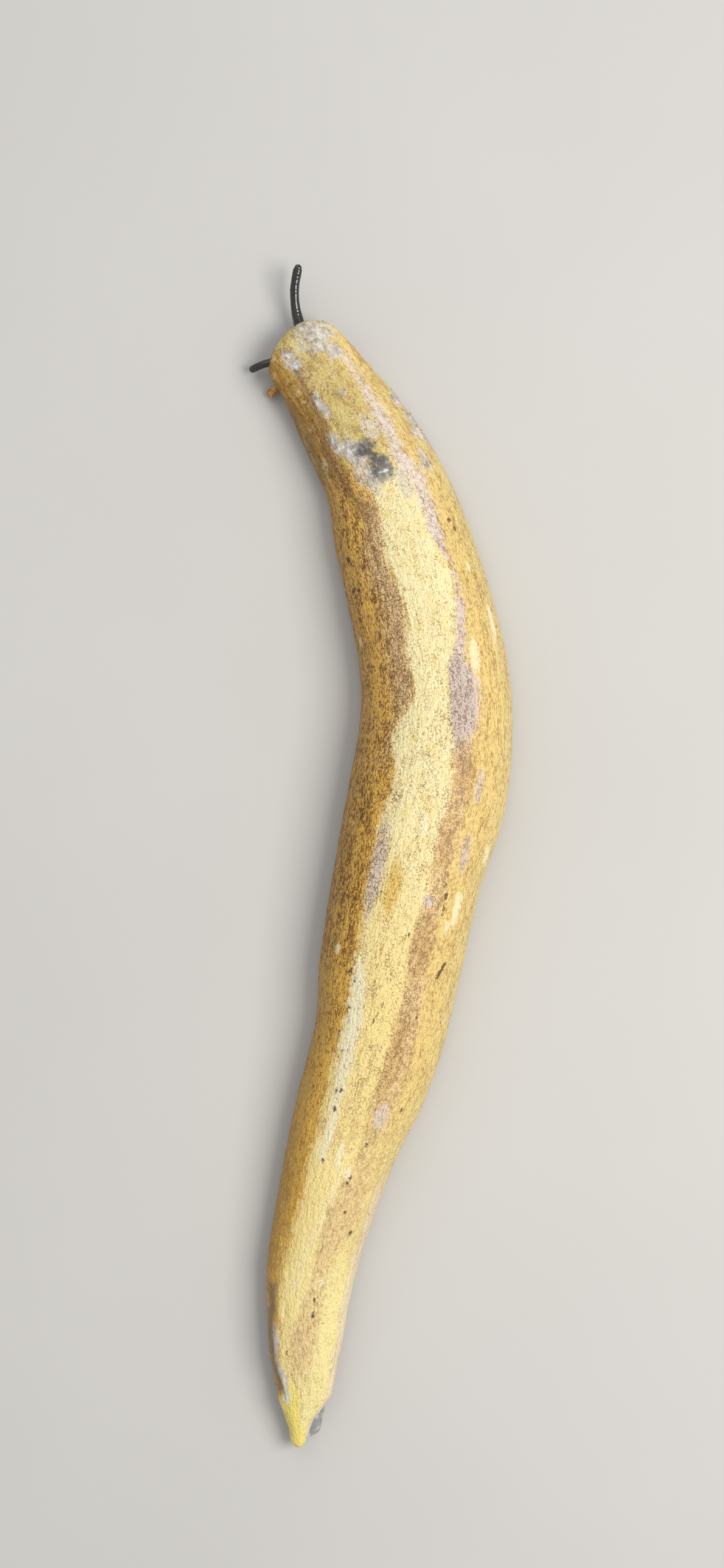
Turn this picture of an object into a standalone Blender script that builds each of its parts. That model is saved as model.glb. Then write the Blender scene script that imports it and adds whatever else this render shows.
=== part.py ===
"""Crawling leatherleaf slug at life size, 130 mm long, with its back seen from above.

Run with: blender --background --python part.py
Sizes below are in millimetres, headings in degrees to the left of +Y, and the meshes are written
in metres. The slug lies along the Y axis with its head end at +Y, and its sole is at z = 0. A spine
runs from the front edge of the mantle (station 0) to the tip of the tail. Each station across it has
a flat slice of mantle and a flat slice of foot, and the slices are joined into lengths.
"""
import math

import bmesh
import bpy
import numpy as np
from mathutils import Matrix, Vector

MILLIMETRE = 0.001
GAP = 0.3

# Driving sizes: the spine, as its heading towards the tail at places along it
BODY_LENGTH = 130.2
FRONT_EDGE = (-10.5, 58.4)
SPINE_HEADING = ((0, 45), (8, 31.5), (15, 31.5), (24, 18), (38, 11.5), (50, -6), (60, -12.3), (80, -13),
                 (95, -16.2), (105, -13.3), (116, -4.5), (BODY_LENGTH, -4))
SPINE_STEP = 0.1

# Driving sizes: the mantle, a low dome with a rounded keel along each side
LEFT_HALF_WIDTH = ((0, 4.6), (6, 4.9), (12, 5.6), (18, 6.3), (26, 7.6), (45, 8.3), (55, 8.7), (68, 8.3),
                   (76, 7.7), (84, 6.5), (90, 6.5), (105, 5.4), (113, 5.0), (117, 4.6), (120, 4.15),
                   (123.6, 3.0), (126.7, 1.75), (128.5, 1.1), (BODY_LENGTH, 0.75))
RIGHT_HALF_WIDTH = ((0, 3.9), (6, 4.8), (12, 6.0), (18, 6.5), (26, 7.3), (45, 8.4), (55, 8.8), (66, 7.8),
                    (80, 7.9), (90, 7.1), (95, 6.1), (105, 5.1), (113, 4.35), (120, 3.6), (124, 3.0),
                    (125.6, 2.1), (127, 1.3), (128.5, 0.8), (BODY_LENGTH, 0.6))
TOP_HEIGHT = ((0, 4.4), (3, 5.0), (8, 6.0), (15, 7.3), (25, 8.7), (40, 9.8), (55, 10.3), (70, 9.9),
              (85, 8.9), (100, 7.4), (112, 6.0), (120, 4.9), (126, 3.7), (BODY_LENGTH, 2.7))
KEEL_BOTTOM = ((0, 2.9), (4.5, 2.9), (9.5, 0.5), (104, 0.5), (116, 1.5), (BODY_LENGTH, 1.55))
KEEL_RADIUS = 0.75
KEEL_SHARE = 0.3
CHANNEL_SHARE = 0.62
CHANNEL_LIP_SHARE = 0.2
ROOF_RISE = 0.1
DOME_POWER = 2.2
FRONT_ROUNDING = 3.2
FRONT_LIP_ROUNDING = 1.5
TAIL_ROUNDING = 0.7
MANTLE_CUTS = (26, 52, 78, 104)
MANTLE_NAMES = ("mantle_front", "mantle_fore", "mantle_middle", "mantle_rear", "mantle_tail")
DOME_SIDES = 26
MANTLE_RING_STEP = 2.1
FRONT_STATIONS = (0.04, 0.2, 0.5, 0.95, 1.55, 2.3, 3.2, 4.4, 5.8, 7.2, 8.05, 8.35)
TAIL_DISTANCES = (7, 5, 3.5, 2.2, 1.2, 0.6, 0.25, 0.03)

# Driving sizes: the foot, a flat ribbon under the mantle whose tip lies to the right of the tail
FOOT_START = 8.35
FOOT_END = 129.9
FOOT_HEIGHT = 1.2
FOOT_HALF_WIDTH = ((FOOT_START, 1.9), (20, 2.4), (45, 3.0), (60, 3.1), (80, 2.8), (100, 2.2), (115, 1.6),
                   (123, 1.3), (127.5, 1.25), (FOOT_END, 1.0))
FOOT_OFFSET = ((FOOT_START, 0), (112, 0), (119, 0.5), (125, 1.35), (127.5, 1.25), (FOOT_END, 1.0))
FOOT_TIP_ROUNDING = 1.3
FOOT_TIP_DISTANCES = (1.2, 0.7, 0.35, 0.05)
FOOT_TIP_HEIGHT_SHARE = 0.6
FOOT_EDGE_SHARE = 0.16
FOOT_NAMES = ("foot_front", "foot_fore", "foot_middle", "foot_rear", "foot_tail")
FOOT_RING_STEP = 3.0

# Driving sizes: the head, which lies under the front of the mantle and looks out to the left
NECK_STATION = 8.0
HEAD_LENGTH = 7.0
HEAD_HEADING = ((0, 31.5), (3, 47), (HEAD_LENGTH, 53))
HEAD_HALF_WIDTH = ((0, 2.35), (1.5, 2.3), (3.2, 2.55), (4.5, 2.55), (5.6, 2.15), (6.4, 1.55),
                   (HEAD_LENGTH, 1.0))
HEAD_HALF_HEIGHT = ((0, 1.2), (4.5, 1.2), (5.8, 1.1), (6.5, 0.9), (HEAD_LENGTH, 0.7))
HEAD_MIDDLE = ((0, 1.33), (4.5, 1.33), (HEAD_LENGTH, 1.15))
HEAD_ROUNDING = 0.55
HEAD_TIP_FLAT = 0.03
HEAD_SIDES = 28
HEAD_RINGS = 17
HEAD_CLEARANCE = 2.9
HEAD_ROOF = 3.1
SIDE_LIP = {"forward": 6.78, "right": 0.46, "height": 0.82, "radii": (0.5, 0.42, 0.47)}
UPPER_LIP = {"forward": 6.76, "right": 0.0, "height": 1.5, "radii": (0.85, 0.36, 0.3)}
MOUTH_LINE = {"forward": 7.13, "right": 0.0, "height": 0.8, "radii": (0.1, 0.5, 0.55)}

# Driving sizes: the feelers, as places on the head and headings along their length
UPPER_RIGHT = {"root": (5.4, 1.45, 1.75), "length": 9.2, "radius": 0.6,
               "heading": ((0, 13), (2.2, 15), (3.4, 14), (4.6, 8), (6, 0), (7.6, -11), (9.2, -13)),
               "height": ((0, 1.75), (3, 1.95), (9.2, 3.4))}
UPPER_LEFT = {"root": (5.6, -1.25, 1.75), "length": 4.6, "radius": 0.5,
              "heading": ((0, 72), (1.2, 83), (2.2, 98), (3.5, 112), (4.6, 116)),
              "height": ((0, 1.75), (2.2, 1.8), (4.6, 1.2))}
LOWER_LEFT = {"root": (4.4, -1.7, 0.95), "length": 3.8, "radius": 0.5,
              "heading": ((0, 120), (3.8, 134)),
              "height": ((0, 0.95), (3.8, 0.75))}
LOWER_RIGHT = {"root": (4.8, 1.4, 0.95), "length": 2.4, "radius": 0.5,
               "heading": ((0, 5), (2.4, -10)),
               "height": ((0, 0.95), (2.4, 0.8))}
UPPER_TAPER = ((0, 1.25), (0.3, 1.08), (0.6, 0.86), (0.9, 0.86), (1, 0.8))
LOWER_TAPER = ((0, 1.1), (0.4, 0.85), (0.8, 1.0), (1, 0.9))
FEELER_SIDES = 14
UPPER_RING_STEP = 0.55
LOWER_RING_STEP = 0.3
LOWER_END_ROUNDING = 0.4
SMALL_LOBE = {"back": 0.23, "drop": 0.22, "radii": (0.3, 0.3, 0.26)}
EYE_RADIUS = 0.43
EYE_LENGTH = 0.46
EYE_RINGS = 7

SHARP_ANGLE = 40
WELD_DISTANCE = 0.01

SOLE_COLOUR = (0.42, 0.30, 0.16)
MANTLE_COLOUR = (0.62, 0.44, 0.16)
HEAD_COLOUR = (0.34, 0.23, 0.13)
FEELER_COLOUR = (0.05, 0.035, 0.025)
LOWER_FEELER_COLOUR = (0.40, 0.18, 0.05)
EYE_COLOUR = (0.006, 0.005, 0.005)


def smooth(stations, place):
    """Reads a smooth curve through (place, value) pairs that never overshoots them."""
    at = np.array([pair[0] for pair in stations], dtype=float)
    value = np.array([pair[1] for pair in stations], dtype=float)
    run = np.diff(at)
    rise = np.diff(value) / run
    slope = np.zeros(len(at))
    slope[0], slope[-1] = rise[0], rise[-1]
    for i in range(1, len(at) - 1):
        if rise[i - 1] * rise[i] > 0:
            before, after = 2 * run[i] + run[i - 1], run[i] + 2 * run[i - 1]
            slope[i] = (before + after) / (before / rise[i - 1] + after / rise[i])
    place = min(max(place, at[0]), at[-1])
    i = min(int(np.searchsorted(at, place, side="right")) - 1, len(run) - 1)
    t = (place - at[i]) / run[i]
    return float(value[i] * (1 + 2 * t) * (1 - t) ** 2 + value[i + 1] * t * t * (3 - 2 * t)
                 + run[i] * (slope[i] * t * (1 - t) ** 2 - slope[i + 1] * t * t * (1 - t)))


def follow_heading(start, heading, length, step=SPINE_STEP):
    """Walks a path whose heading is given along its length, and returns its places in a row."""
    count = max(1, int(round(length / step)))
    angles = np.radians([smooth(heading, (i + 0.5) * length / count) for i in range(count)])
    steps = length / count * np.column_stack([-np.sin(angles), np.cos(angles)])
    return np.vstack([[start], start + np.cumsum(steps, axis=0)])


def walk_spine():
    """The spine's places: its headings point at the head, and it is walked towards the tail."""
    turned = [(place, angle + 180) for place, angle in SPINE_HEADING]
    return follow_heading(np.array(FRONT_EDGE), turned, BODY_LENGTH)


SPINE = walk_spine()


def spine_frame(station):
    """The spine's place at a station, and the level direction across it, to the right."""
    at = np.linspace(0, BODY_LENGTH, len(SPINE))
    place = np.array([np.interp(station, at, SPINE[:, 0]), np.interp(station, at, SPINE[:, 1])])
    angle = math.radians(smooth(SPINE_HEADING, station))
    return place, np.array([math.cos(angle), math.sin(angle)])


def slice_point(station, across, height):
    """Turns a place in a slice, across the spine and up, into a place in space."""
    place, right = spine_frame(station)
    flat = place + across * right
    return Vector((flat[0], flat[1], height))


def round_end(distance, radius):
    """The share of full size that a rounded end has at this distance from its tip."""
    reach = min(max(distance / radius, 0.0), 1.0)
    return math.sqrt(1 - (1 - reach) ** 2)


def roof_height(station):
    """The roof over the head or the foot. It steps down where the neck ends and the foot starts."""
    if station <= NECK_STATION + GAP / 2:
        return HEAD_ROOF
    return max(FOOT_HEIGHT + GAP, smooth(KEEL_BOTTOM, station) + ROOF_RISE)


def channel_half_width(station, half_width):
    """Half the width of the channel under the mantle, which holds the head or the foot."""
    if station <= NECK_STATION + GAP / 2:
        return HEAD_CLEARANCE
    return min(smooth(FOOT_HALF_WIDTH, station) + GAP, CHANNEL_SHARE * half_width)


def under_side(side, half_width, bottom, channel, roof):
    """One side of the mantle's underside, from below the keel in to the roof of the channel."""
    keel = min(KEEL_RADIUS, KEEL_SHARE * half_width)
    points = []
    for angle in (30, 60, 90):
        turn = math.radians(angle)
        points.append((half_width - keel + keel * math.cos(turn), bottom + keel * (1 - math.sin(turn))))
    lip = channel + CHANNEL_LIP_SHARE * (half_width - keel - channel)
    rise = roof - bottom
    points.append(((half_width - keel + lip) / 2, bottom))
    points.append((lip, bottom))
    points.append((channel, bottom + 0.2 * rise))
    points.append((channel, bottom + 0.8 * rise))
    points.append((0.9 * channel, roof))
    return [(side * across, height) for across, height in points]


def mantle_slice(station):
    """The outline of the mantle at a station: over the dome from right to left, then back below."""
    left = smooth(LEFT_HALF_WIDTH, station)
    right = smooth(RIGHT_HALF_WIDTH, station)
    bottom = smooth(KEEL_BOTTOM, station)
    top = smooth(TOP_HEIGHT, station)
    keel_height = bottom + min(KEEL_RADIUS, KEEL_SHARE * min(left, right))
    points = []
    for i in range(DOME_SIDES + 1):
        angle = math.pi * i / DOME_SIDES
        out = abs(math.cos(angle)) ** (2 / DOME_POWER)
        up = abs(math.sin(angle)) ** (2 / DOME_POWER)
        across = right * out if math.cos(angle) > 0 else -left * out
        points.append((across, keel_height + (top - keel_height) * up))
    roof = roof_height(station)
    points += under_side(-1, left, bottom, channel_half_width(station, left), roof)
    points.append((0.0, roof))
    points += under_side(1, right, bottom, channel_half_width(station, right), roof)[::-1]
    tail = round_end(BODY_LENGTH - station, TAIL_ROUNDING)
    wide = round_end(station, FRONT_ROUNDING) * tail
    tall = round_end(station, FRONT_LIP_ROUNDING) * tail
    middle = (bottom + top) / 2
    outline = [(wide * across, middle + tall * (height - middle)) for across, height in points]
    return [slice_point(station, across, height) for across, height in outline]


def foot_slice(station):
    """The outline of the foot at a station: a flat sole, rounded sides and a flat top."""
    tip = round_end(FOOT_END - station, FOOT_TIP_ROUNDING)
    half_width = smooth(FOOT_HALF_WIDTH, station) * tip
    height = FOOT_HEIGHT * (FOOT_TIP_HEIGHT_SHARE + (1 - FOOT_TIP_HEIGHT_SHARE) * tip)
    offset = smooth(FOOT_OFFSET, station)
    edge = FOOT_EDGE_SHARE * half_width
    right_side = [(half_width - 2.2 * edge, 0), (half_width - 0.7 * edge, 0.1 * height),
                  (half_width, 0.35 * height), (half_width, 0.75 * height), (half_width - edge, height)]
    left_side = [(-across, up) for across, up in right_side[::-1]]
    outline = right_side + [(0.0, height)] + left_side + [(0.0, 0.0)]
    return [slice_point(station, offset + across, up) for across, up in outline]


def stations_between(start, end, step):
    """Evenly spread stations from start to end."""
    count = max(2, int(round((end - start) / step)) + 1)
    return [float(place) for place in np.linspace(start, end, count)]


def mantle_stations(start, end):
    """The stations of one length of mantle, with more of them round the front edge and the tip."""
    before = list(FRONT_STATIONS) if start == 0 else []
    after = [BODY_LENGTH - distance for distance in TAIL_DISTANCES] if end == BODY_LENGTH else []
    first = before[-1] + MANTLE_RING_STEP if before else start
    last = after[0] - MANTLE_RING_STEP if after else end
    return before + stations_between(first, last, MANTLE_RING_STEP) + after


def tube(slices):
    """A closed tube through slices of equally many points: a cylinder, cut across and laid on them."""
    sides, rings = len(slices[0]), len(slices)
    bm = bmesh.new()
    bmesh.ops.create_cone(bm, cap_ends=True, segments=sides, radius1=1, radius2=1, depth=2)
    lengthwise = [edge for edge in bm.edges if abs(edge.verts[0].co.z - edge.verts[1].co.z) > 1]
    bmesh.ops.subdivide_edges(bm, edges=lengthwise, cuts=rings - 2, use_grid_fill=True)
    for vert in bm.verts:
        side = int(round(math.atan2(vert.co.y, vert.co.x) / math.tau * sides)) % sides
        ring = int(round((vert.co.z + 1) / 2 * (rings - 1)))
        vert.co = slices[ring][side]
    bmesh.ops.triangulate(bm, faces=bm.faces[:], ngon_method="BEAUTY")
    bmesh.ops.recalc_face_normals(bm, faces=bm.faces[:])
    return bm


def material(name, colour, roughness):
    """A plain shader of the piece's own colour and gloss."""
    finish = bpy.data.materials.new(name)
    finish.use_nodes = True
    shader = finish.node_tree.nodes["Principled BSDF"]
    shader.inputs["Base Color"].default_value = (*colour, 1)
    shader.inputs["Roughness"].default_value = roughness
    return finish


def add_object(name, bm, centre, colour, roughness=0.35):
    """Puts a finished mesh, in millimetres, into the scene as an object placed at its own centre."""
    mesh = bpy.data.meshes.new(name)
    bm.to_mesh(mesh)
    bm.free()
    mesh.transform(Matrix.Scale(MILLIMETRE, 4) @ Matrix.Translation(-Vector(centre)))
    mesh.materials.append(material(name, colour, roughness))
    mesh.shade_smooth()
    mesh.set_sharp_from_angle(angle=math.radians(SHARP_ANGLE))
    obj = bpy.data.objects.new(name, mesh)
    obj.location = Vector(centre) * MILLIMETRE
    obj.parent = SLUG
    bpy.context.scene.collection.objects.link(obj)
    return obj


def combine(bm, others, operation):
    """Joins closed meshes to a mesh, or cuts them out of it, and keeps its largest closed surface."""
    def hold(part):
        mesh = bpy.data.meshes.new("part")
        part.to_mesh(mesh)
        part.free()
        return bpy.data.objects.new("part", mesh)

    body = hold(bm)
    bpy.context.scene.collection.objects.link(body)
    pieces = bpy.data.collections.new("pieces")
    bpy.context.scene.collection.children.link(pieces)
    for other in others:
        pieces.objects.link(hold(other))
    boolean = body.modifiers.new("join", "BOOLEAN")
    boolean.operation = operation
    boolean.operand_type = "COLLECTION"
    boolean.collection = pieces
    boolean.solver = "EXACT"
    evaluated = body.evaluated_get(bpy.context.evaluated_depsgraph_get())
    result = bmesh.new()
    result.from_mesh(evaluated.to_mesh())
    for obj in [body] + list(pieces.objects):
        bpy.data.objects.remove(obj)
    bpy.data.collections.remove(pieces)
    bmesh.ops.remove_doubles(result, verts=result.verts[:], dist=WELD_DISTANCE)
    keep_largest(result)
    bmesh.ops.triangulate(result, faces=result.faces[:], ngon_method="BEAUTY")
    return result


def keep_largest(bm):
    """Deletes every connected surface but the one with the most faces."""
    groups = []
    waiting = set(bm.faces)
    while waiting:
        group, rim = set(), [waiting.pop()]
        while rim:
            face = rim.pop()
            group.add(face)
            near = {other for edge in face.edges for other in edge.link_faces} & waiting
            waiting -= near
            rim += list(near)
        groups.append(group)
    largest = max(groups, key=len)
    spare = [face for face in bm.faces if face not in largest]
    bmesh.ops.delete(bm, geom=spare, context="FACES")


def ellipsoid(centre, radii, turn, sides=14, rings=9):
    """A closed ball with three radii, turned about the vertical."""
    bm = bmesh.new()
    place = Matrix.Translation(centre) @ Matrix.Rotation(turn, 4, "Z") @ Matrix.Diagonal((*radii, 1))
    bmesh.ops.create_uvsphere(bm, u_segments=sides, v_segments=rings, radius=1, matrix=place)
    return bm


def lengths(names, cuts, start, end):
    """Names the lengths between cuts, each drawn back from its neighbour by half the gap."""
    edges = [start, *cuts, end]
    for name, near, far in zip(names, edges[:-1], edges[1:]):
        first = near if near == start else near + GAP / 2
        last = far if far == end else far - GAP / 2
        yield name, first, last


def build_mantle():
    """The mantle in five lengths, whose end faces meet across a thin gap."""
    for name, start, end in lengths(MANTLE_NAMES, MANTLE_CUTS, 0, BODY_LENGTH):
        slices = [mantle_slice(station) for station in mantle_stations(start, end)]
        middle = (start + end) / 2
        add_object(name, tube(slices), slice_point(middle, 0, smooth(TOP_HEIGHT, middle) / 2), MANTLE_COLOUR)


def build_foot():
    """The foot in five lengths under the mantle's, with a flat sole on the ground."""
    for name, start, end in lengths(FOOT_NAMES, MANTLE_CUTS, FOOT_START, FOOT_END):
        stations = stations_between(start, end, FOOT_RING_STEP)
        if end == FOOT_END:
            stations = stations[:-1] + [FOOT_END - distance for distance in FOOT_TIP_DISTANCES]
        slices = [foot_slice(station) for station in stations]
        add_object(name, tube(slices), slice_point((start + end) / 2, 0, FOOT_HEIGHT / 2), SOLE_COLOUR)


def head_point(forward, right, height):
    """A place on the head, along its bending middle line from the neck, across it and up."""
    neck, _ = spine_frame(NECK_STATION)
    if forward > 0:
        neck = follow_heading(neck, HEAD_HEADING, forward, SPINE_STEP)[-1]
    angle = math.radians(smooth(HEAD_HEADING, forward))
    return Vector((neck[0] + right * math.cos(angle), neck[1] + right * math.sin(angle), height))


def head_form(grow=0.0):
    """The head and neck as one tube, made larger all round by grow."""
    slices = []
    for i in range(HEAD_RINGS):
        forward = HEAD_LENGTH * math.sin(math.pi / 2 * i / (HEAD_RINGS - 1))
        end = round_end(HEAD_LENGTH - forward + HEAD_TIP_FLAT, HEAD_ROUNDING)
        wide = smooth(HEAD_HALF_WIDTH, forward) * end + grow
        tall = smooth(HEAD_HALF_HEIGHT, forward) * end + grow
        middle = smooth(HEAD_MIDDLE, forward)
        ring = []
        for side in range(HEAD_SIDES):
            angle = math.tau * side / HEAD_SIDES
            stretch = forward * (1 + grow / HEAD_LENGTH)
            ring.append(head_point(stretch, wide * math.cos(angle), middle + tall * math.sin(angle)))
        slices.append(ring)
    return tube(slices)


def face_ball(form, side=1):
    """A ball at its place on the face, turned the way the head looks, to raise a lip or cut the mouth."""
    centre = head_point(form["forward"], side * form["right"], form["height"])
    return ellipsoid(centre, form["radii"], math.radians(HEAD_HEADING[-1][1]))


def build_head():
    """The head with its upper lip, two side lips and the upright line of the mouth between them."""
    lips = [face_ball(SIDE_LIP, -1), face_ball(SIDE_LIP, 1), face_ball(UPPER_LIP)]
    head = combine(head_form(), lips, "UNION")
    head = combine(head, [face_ball(MOUTH_LINE)], "DIFFERENCE")
    add_object("head", head, head_point(0, 0, HEAD_MIDDLE[0][1]), HEAD_COLOUR)


def feeler_path(feeler):
    """How far along a feeler each of its places is, and the places themselves."""
    root = head_point(*feeler["root"])
    flat = follow_heading(np.array([root.x, root.y]), feeler["heading"], feeler["length"])
    along = np.linspace(0, feeler["length"], len(flat))
    heights = [smooth(feeler["height"], place) for place in along]
    points = [Vector((x, y, z)) for (x, y), z in zip(flat, heights)]
    return along, points


def feeler_ring(centre, direction, radius):
    """One ring of points square to a feeler's direction."""
    right = direction.cross(Vector((0, 0, 1))).normalized()
    up = right.cross(direction).normalized()
    ring = []
    for side in range(FEELER_SIDES):
        angle = math.tau * side / FEELER_SIDES
        ring.append(centre + radius * (math.cos(angle) * right + math.sin(angle) * up))
    return ring


def feeler_at(feeler, place):
    """The middle line's place and direction at a length along a feeler."""
    along, points = feeler_path(feeler)
    index = min(max(int(np.searchsorted(along, place)), 1), len(points) - 1)
    share = (place - along[index - 1]) / (along[index] - along[index - 1])
    centre = points[index - 1].lerp(points[index], share)
    return centre, (points[index] - points[index - 1]).normalized()


def build_upper_feeler(name, feeler):
    """A long feeler, thicker at its root, cut off flat where its eye sits."""
    slices = []
    for place in stations_between(0, feeler["length"] - EYE_LENGTH - GAP / 2, UPPER_RING_STEP):
        centre, direction = feeler_at(feeler, place)
        radius = feeler["radius"] * smooth(UPPER_TAPER, place / feeler["length"])
        slices.append(feeler_ring(centre, direction, radius))
    shape = combine(tube(slices), [head_form(GAP)], "DIFFERENCE")
    add_object(name, shape, feeler_at(feeler, GAP)[0], FEELER_COLOUR, 0.2)


def build_eye(name, feeler):
    """The eye, a small dome on the end of an upper feeler with its flat back to it."""
    base, direction = feeler_at(feeler, feeler["length"] - EYE_LENGTH)
    base += GAP / 2 * direction
    dome_length = EYE_LENGTH - GAP / 2
    slices = []
    for i in range(EYE_RINGS):
        turn = math.pi / 2 * i / (EYE_RINGS - 0.7)
        ring_centre = base + dome_length * math.sin(turn) * direction
        slices.append(feeler_ring(ring_centre, direction, EYE_RADIUS * math.cos(turn)))
    add_object(name, tube(slices), base, EYE_COLOUR, 0.08)


def build_lower_feeler(name, feeler):
    """A short feeler whose end swells into two lobes, the larger one above."""
    slices = []
    for place in stations_between(0, feeler["length"] - GAP / 4, LOWER_RING_STEP):
        centre, direction = feeler_at(feeler, place)
        radius = feeler["radius"] * smooth(LOWER_TAPER, place / feeler["length"])
        end = round_end(feeler["length"] - place, LOWER_END_ROUNDING)
        slices.append(feeler_ring(centre, direction, radius * end))
    tip, direction = feeler_at(feeler, feeler["length"] - SMALL_LOBE["back"])
    lobe = ellipsoid(tip - Vector((0, 0, SMALL_LOBE["drop"])), SMALL_LOBE["radii"], 0, 10, 7)
    shape = combine(tube(slices), [lobe], "UNION")
    shape = combine(shape, [head_form(GAP)], "DIFFERENCE")
    add_object(name, shape, feeler_at(feeler, GAP)[0], LOWER_FEELER_COLOUR, 0.25)


for old in list(bpy.data.objects):
    bpy.data.objects.remove(old)

SLUG = bpy.data.objects.new("slug", None)
bpy.context.scene.collection.objects.link(SLUG)

build_mantle()
build_foot()
build_head()
build_upper_feeler("tentacle_upper_right", UPPER_RIGHT)
build_upper_feeler("tentacle_upper_left", UPPER_LEFT)
build_lower_feeler("tentacle_lower_right", LOWER_RIGHT)
build_lower_feeler("tentacle_lower_left", LOWER_LEFT)
build_eye("eye_right", UPPER_RIGHT)
build_eye("eye_left", UPPER_LEFT)
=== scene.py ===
# %% [markdown]
# # A crawling leatherleaf slug, 130 mm long
# This lesson dresses a plain solid model of a slug in its real skin. The solids say where every part
# lies and how large it is. The skin is modelled over them here, finer, with its wrinkles and grains, and
# painted with Blender's nodes.
#
# The first step loads the solids.

# %% Load the solids
import math

import bmesh
import bpy
import numpy as np
from mathutils import Matrix, Vector, noise


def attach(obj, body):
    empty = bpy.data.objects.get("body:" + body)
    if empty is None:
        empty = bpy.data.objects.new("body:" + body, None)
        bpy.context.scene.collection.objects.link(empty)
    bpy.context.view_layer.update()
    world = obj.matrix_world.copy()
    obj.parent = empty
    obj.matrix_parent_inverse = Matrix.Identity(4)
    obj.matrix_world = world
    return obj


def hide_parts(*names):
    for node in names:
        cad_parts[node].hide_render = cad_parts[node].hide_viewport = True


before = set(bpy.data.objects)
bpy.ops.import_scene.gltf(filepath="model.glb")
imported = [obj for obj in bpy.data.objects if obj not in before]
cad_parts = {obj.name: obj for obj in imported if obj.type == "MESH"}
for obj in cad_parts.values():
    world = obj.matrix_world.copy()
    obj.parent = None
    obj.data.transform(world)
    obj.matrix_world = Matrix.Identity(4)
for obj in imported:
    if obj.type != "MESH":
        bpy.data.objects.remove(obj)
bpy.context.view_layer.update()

MILLIMETRE = 0.001


# %% [markdown]
# ## Curves through a few sizes
# A slug swells and narrows smoothly. A few sizes along the body are enough to say how, if a smooth
# curve runs through them. A spline would overshoot between two sizes, so this curve limits its slopes:
# it never rises above or drops below the sizes on either side. It reads a whole array of places at once.


# %% A curve that never overshoots
def smooth(stations, places):
    """Reads a smooth curve through (place, value) pairs at an array of places."""
    at, value = np.array(stations, dtype=float).T
    run = np.diff(at)
    rise = np.diff(value) / run
    slope = np.zeros(len(at))
    slope[0], slope[-1] = rise[0], rise[-1]
    for i in range(1, len(at) - 1):
        if rise[i - 1] * rise[i] > 0:
            before, after = 2 * run[i] + run[i - 1], run[i] + 2 * run[i - 1]
            slope[i] = (before + after) / (before / rise[i - 1] + after / rise[i])
    places = np.clip(places, at[0], at[-1])
    i = np.clip(np.searchsorted(at, places, side="right") - 1, 0, len(run) - 1)
    t = (places - at[i]) / run[i]
    ends = value[i] * (1 + 2 * t) * (1 - t) ** 2 + value[i + 1] * t * t * (3 - 2 * t)
    return ends + run[i] * (slope[i] * t * (1 - t) ** 2 - slope[i + 1] * t * t * (1 - t))


def soft_step(low, high, value):
    """Rises smoothly from 0 at low to 1 at high."""
    t = np.clip((value - low) / (high - low), 0, 1)
    return t * t * (3 - 2 * t)


def round_end(distance, radius):
    """The share of full size that a rounded end has at this distance from its tip."""
    reach = np.clip(distance / radius, 0, 1)
    return np.sqrt(1 - (1 - reach) ** 2)


print("half way up a soft step:", soft_step(0, 2, np.array([1.0])))

# %% [markdown]
# ## The spine
# The slug crawls in a long S. Its spine is walked from the front edge of the mantle to the tip of the
# tail, turning by a heading that is given at a few stations. A station is the distance walked, in
# millimetres, and it names every place along the slug from here on.

# %% Walk the spine
BODY_LENGTH = 130.2
FRONT_EDGE = (-10.5, 58.4)
SPINE_HEADING = ((0, 45), (8, 31.5), (15, 31.5), (24, 18), (38, 11.5), (50, -6), (60, -12.3), (80, -13),
                 (95, -16.2), (105, -13.3), (116, -4.5), (BODY_LENGTH, -4))
SPINE_STEP = 0.1


def follow_heading(start, heading, length):
    """Walks a level path whose heading, left of +Y, is given along its length."""
    count = max(1, int(round(length / SPINE_STEP)))
    angles = np.radians(smooth(heading, (np.arange(count) + 0.5) * length / count))
    steps = length / count * np.column_stack([-np.sin(angles), np.cos(angles)])
    return np.vstack([[start], start + np.cumsum(steps, axis=0)])


BACKWARDS = [(station, heading + 180) for station, heading in SPINE_HEADING]
SPINE = follow_heading(np.array(FRONT_EDGE), BACKWARDS, BODY_LENGTH)


def spine_frame(stations):
    """The spine's places at an array of stations, and the level directions across it, to the right."""
    at = np.linspace(0, BODY_LENGTH, len(SPINE))
    places = np.column_stack([np.interp(stations, at, SPINE[:, 0]), np.interp(stations, at, SPINE[:, 1])])
    angles = np.radians(smooth(SPINE_HEADING, stations))
    return places, np.column_stack([np.cos(angles), np.sin(angles)])


print("tail tip in mm:", SPINE[-1].round(2))

# %% [markdown]
# ## The slug's cross-section
# Cut across, the slug is a dome on a narrow foot. The dome is the mantle, which covers the whole back and
# folds under at a rounded keel. Its flat underside runs in to a groove, and the foot hangs between the two
# grooves. At the front there is no foot: the mantle makes a roof over the head instead. One outline with
# the same number of points everywhere serves for both, so that the whole body can be one closed skin.

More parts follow.
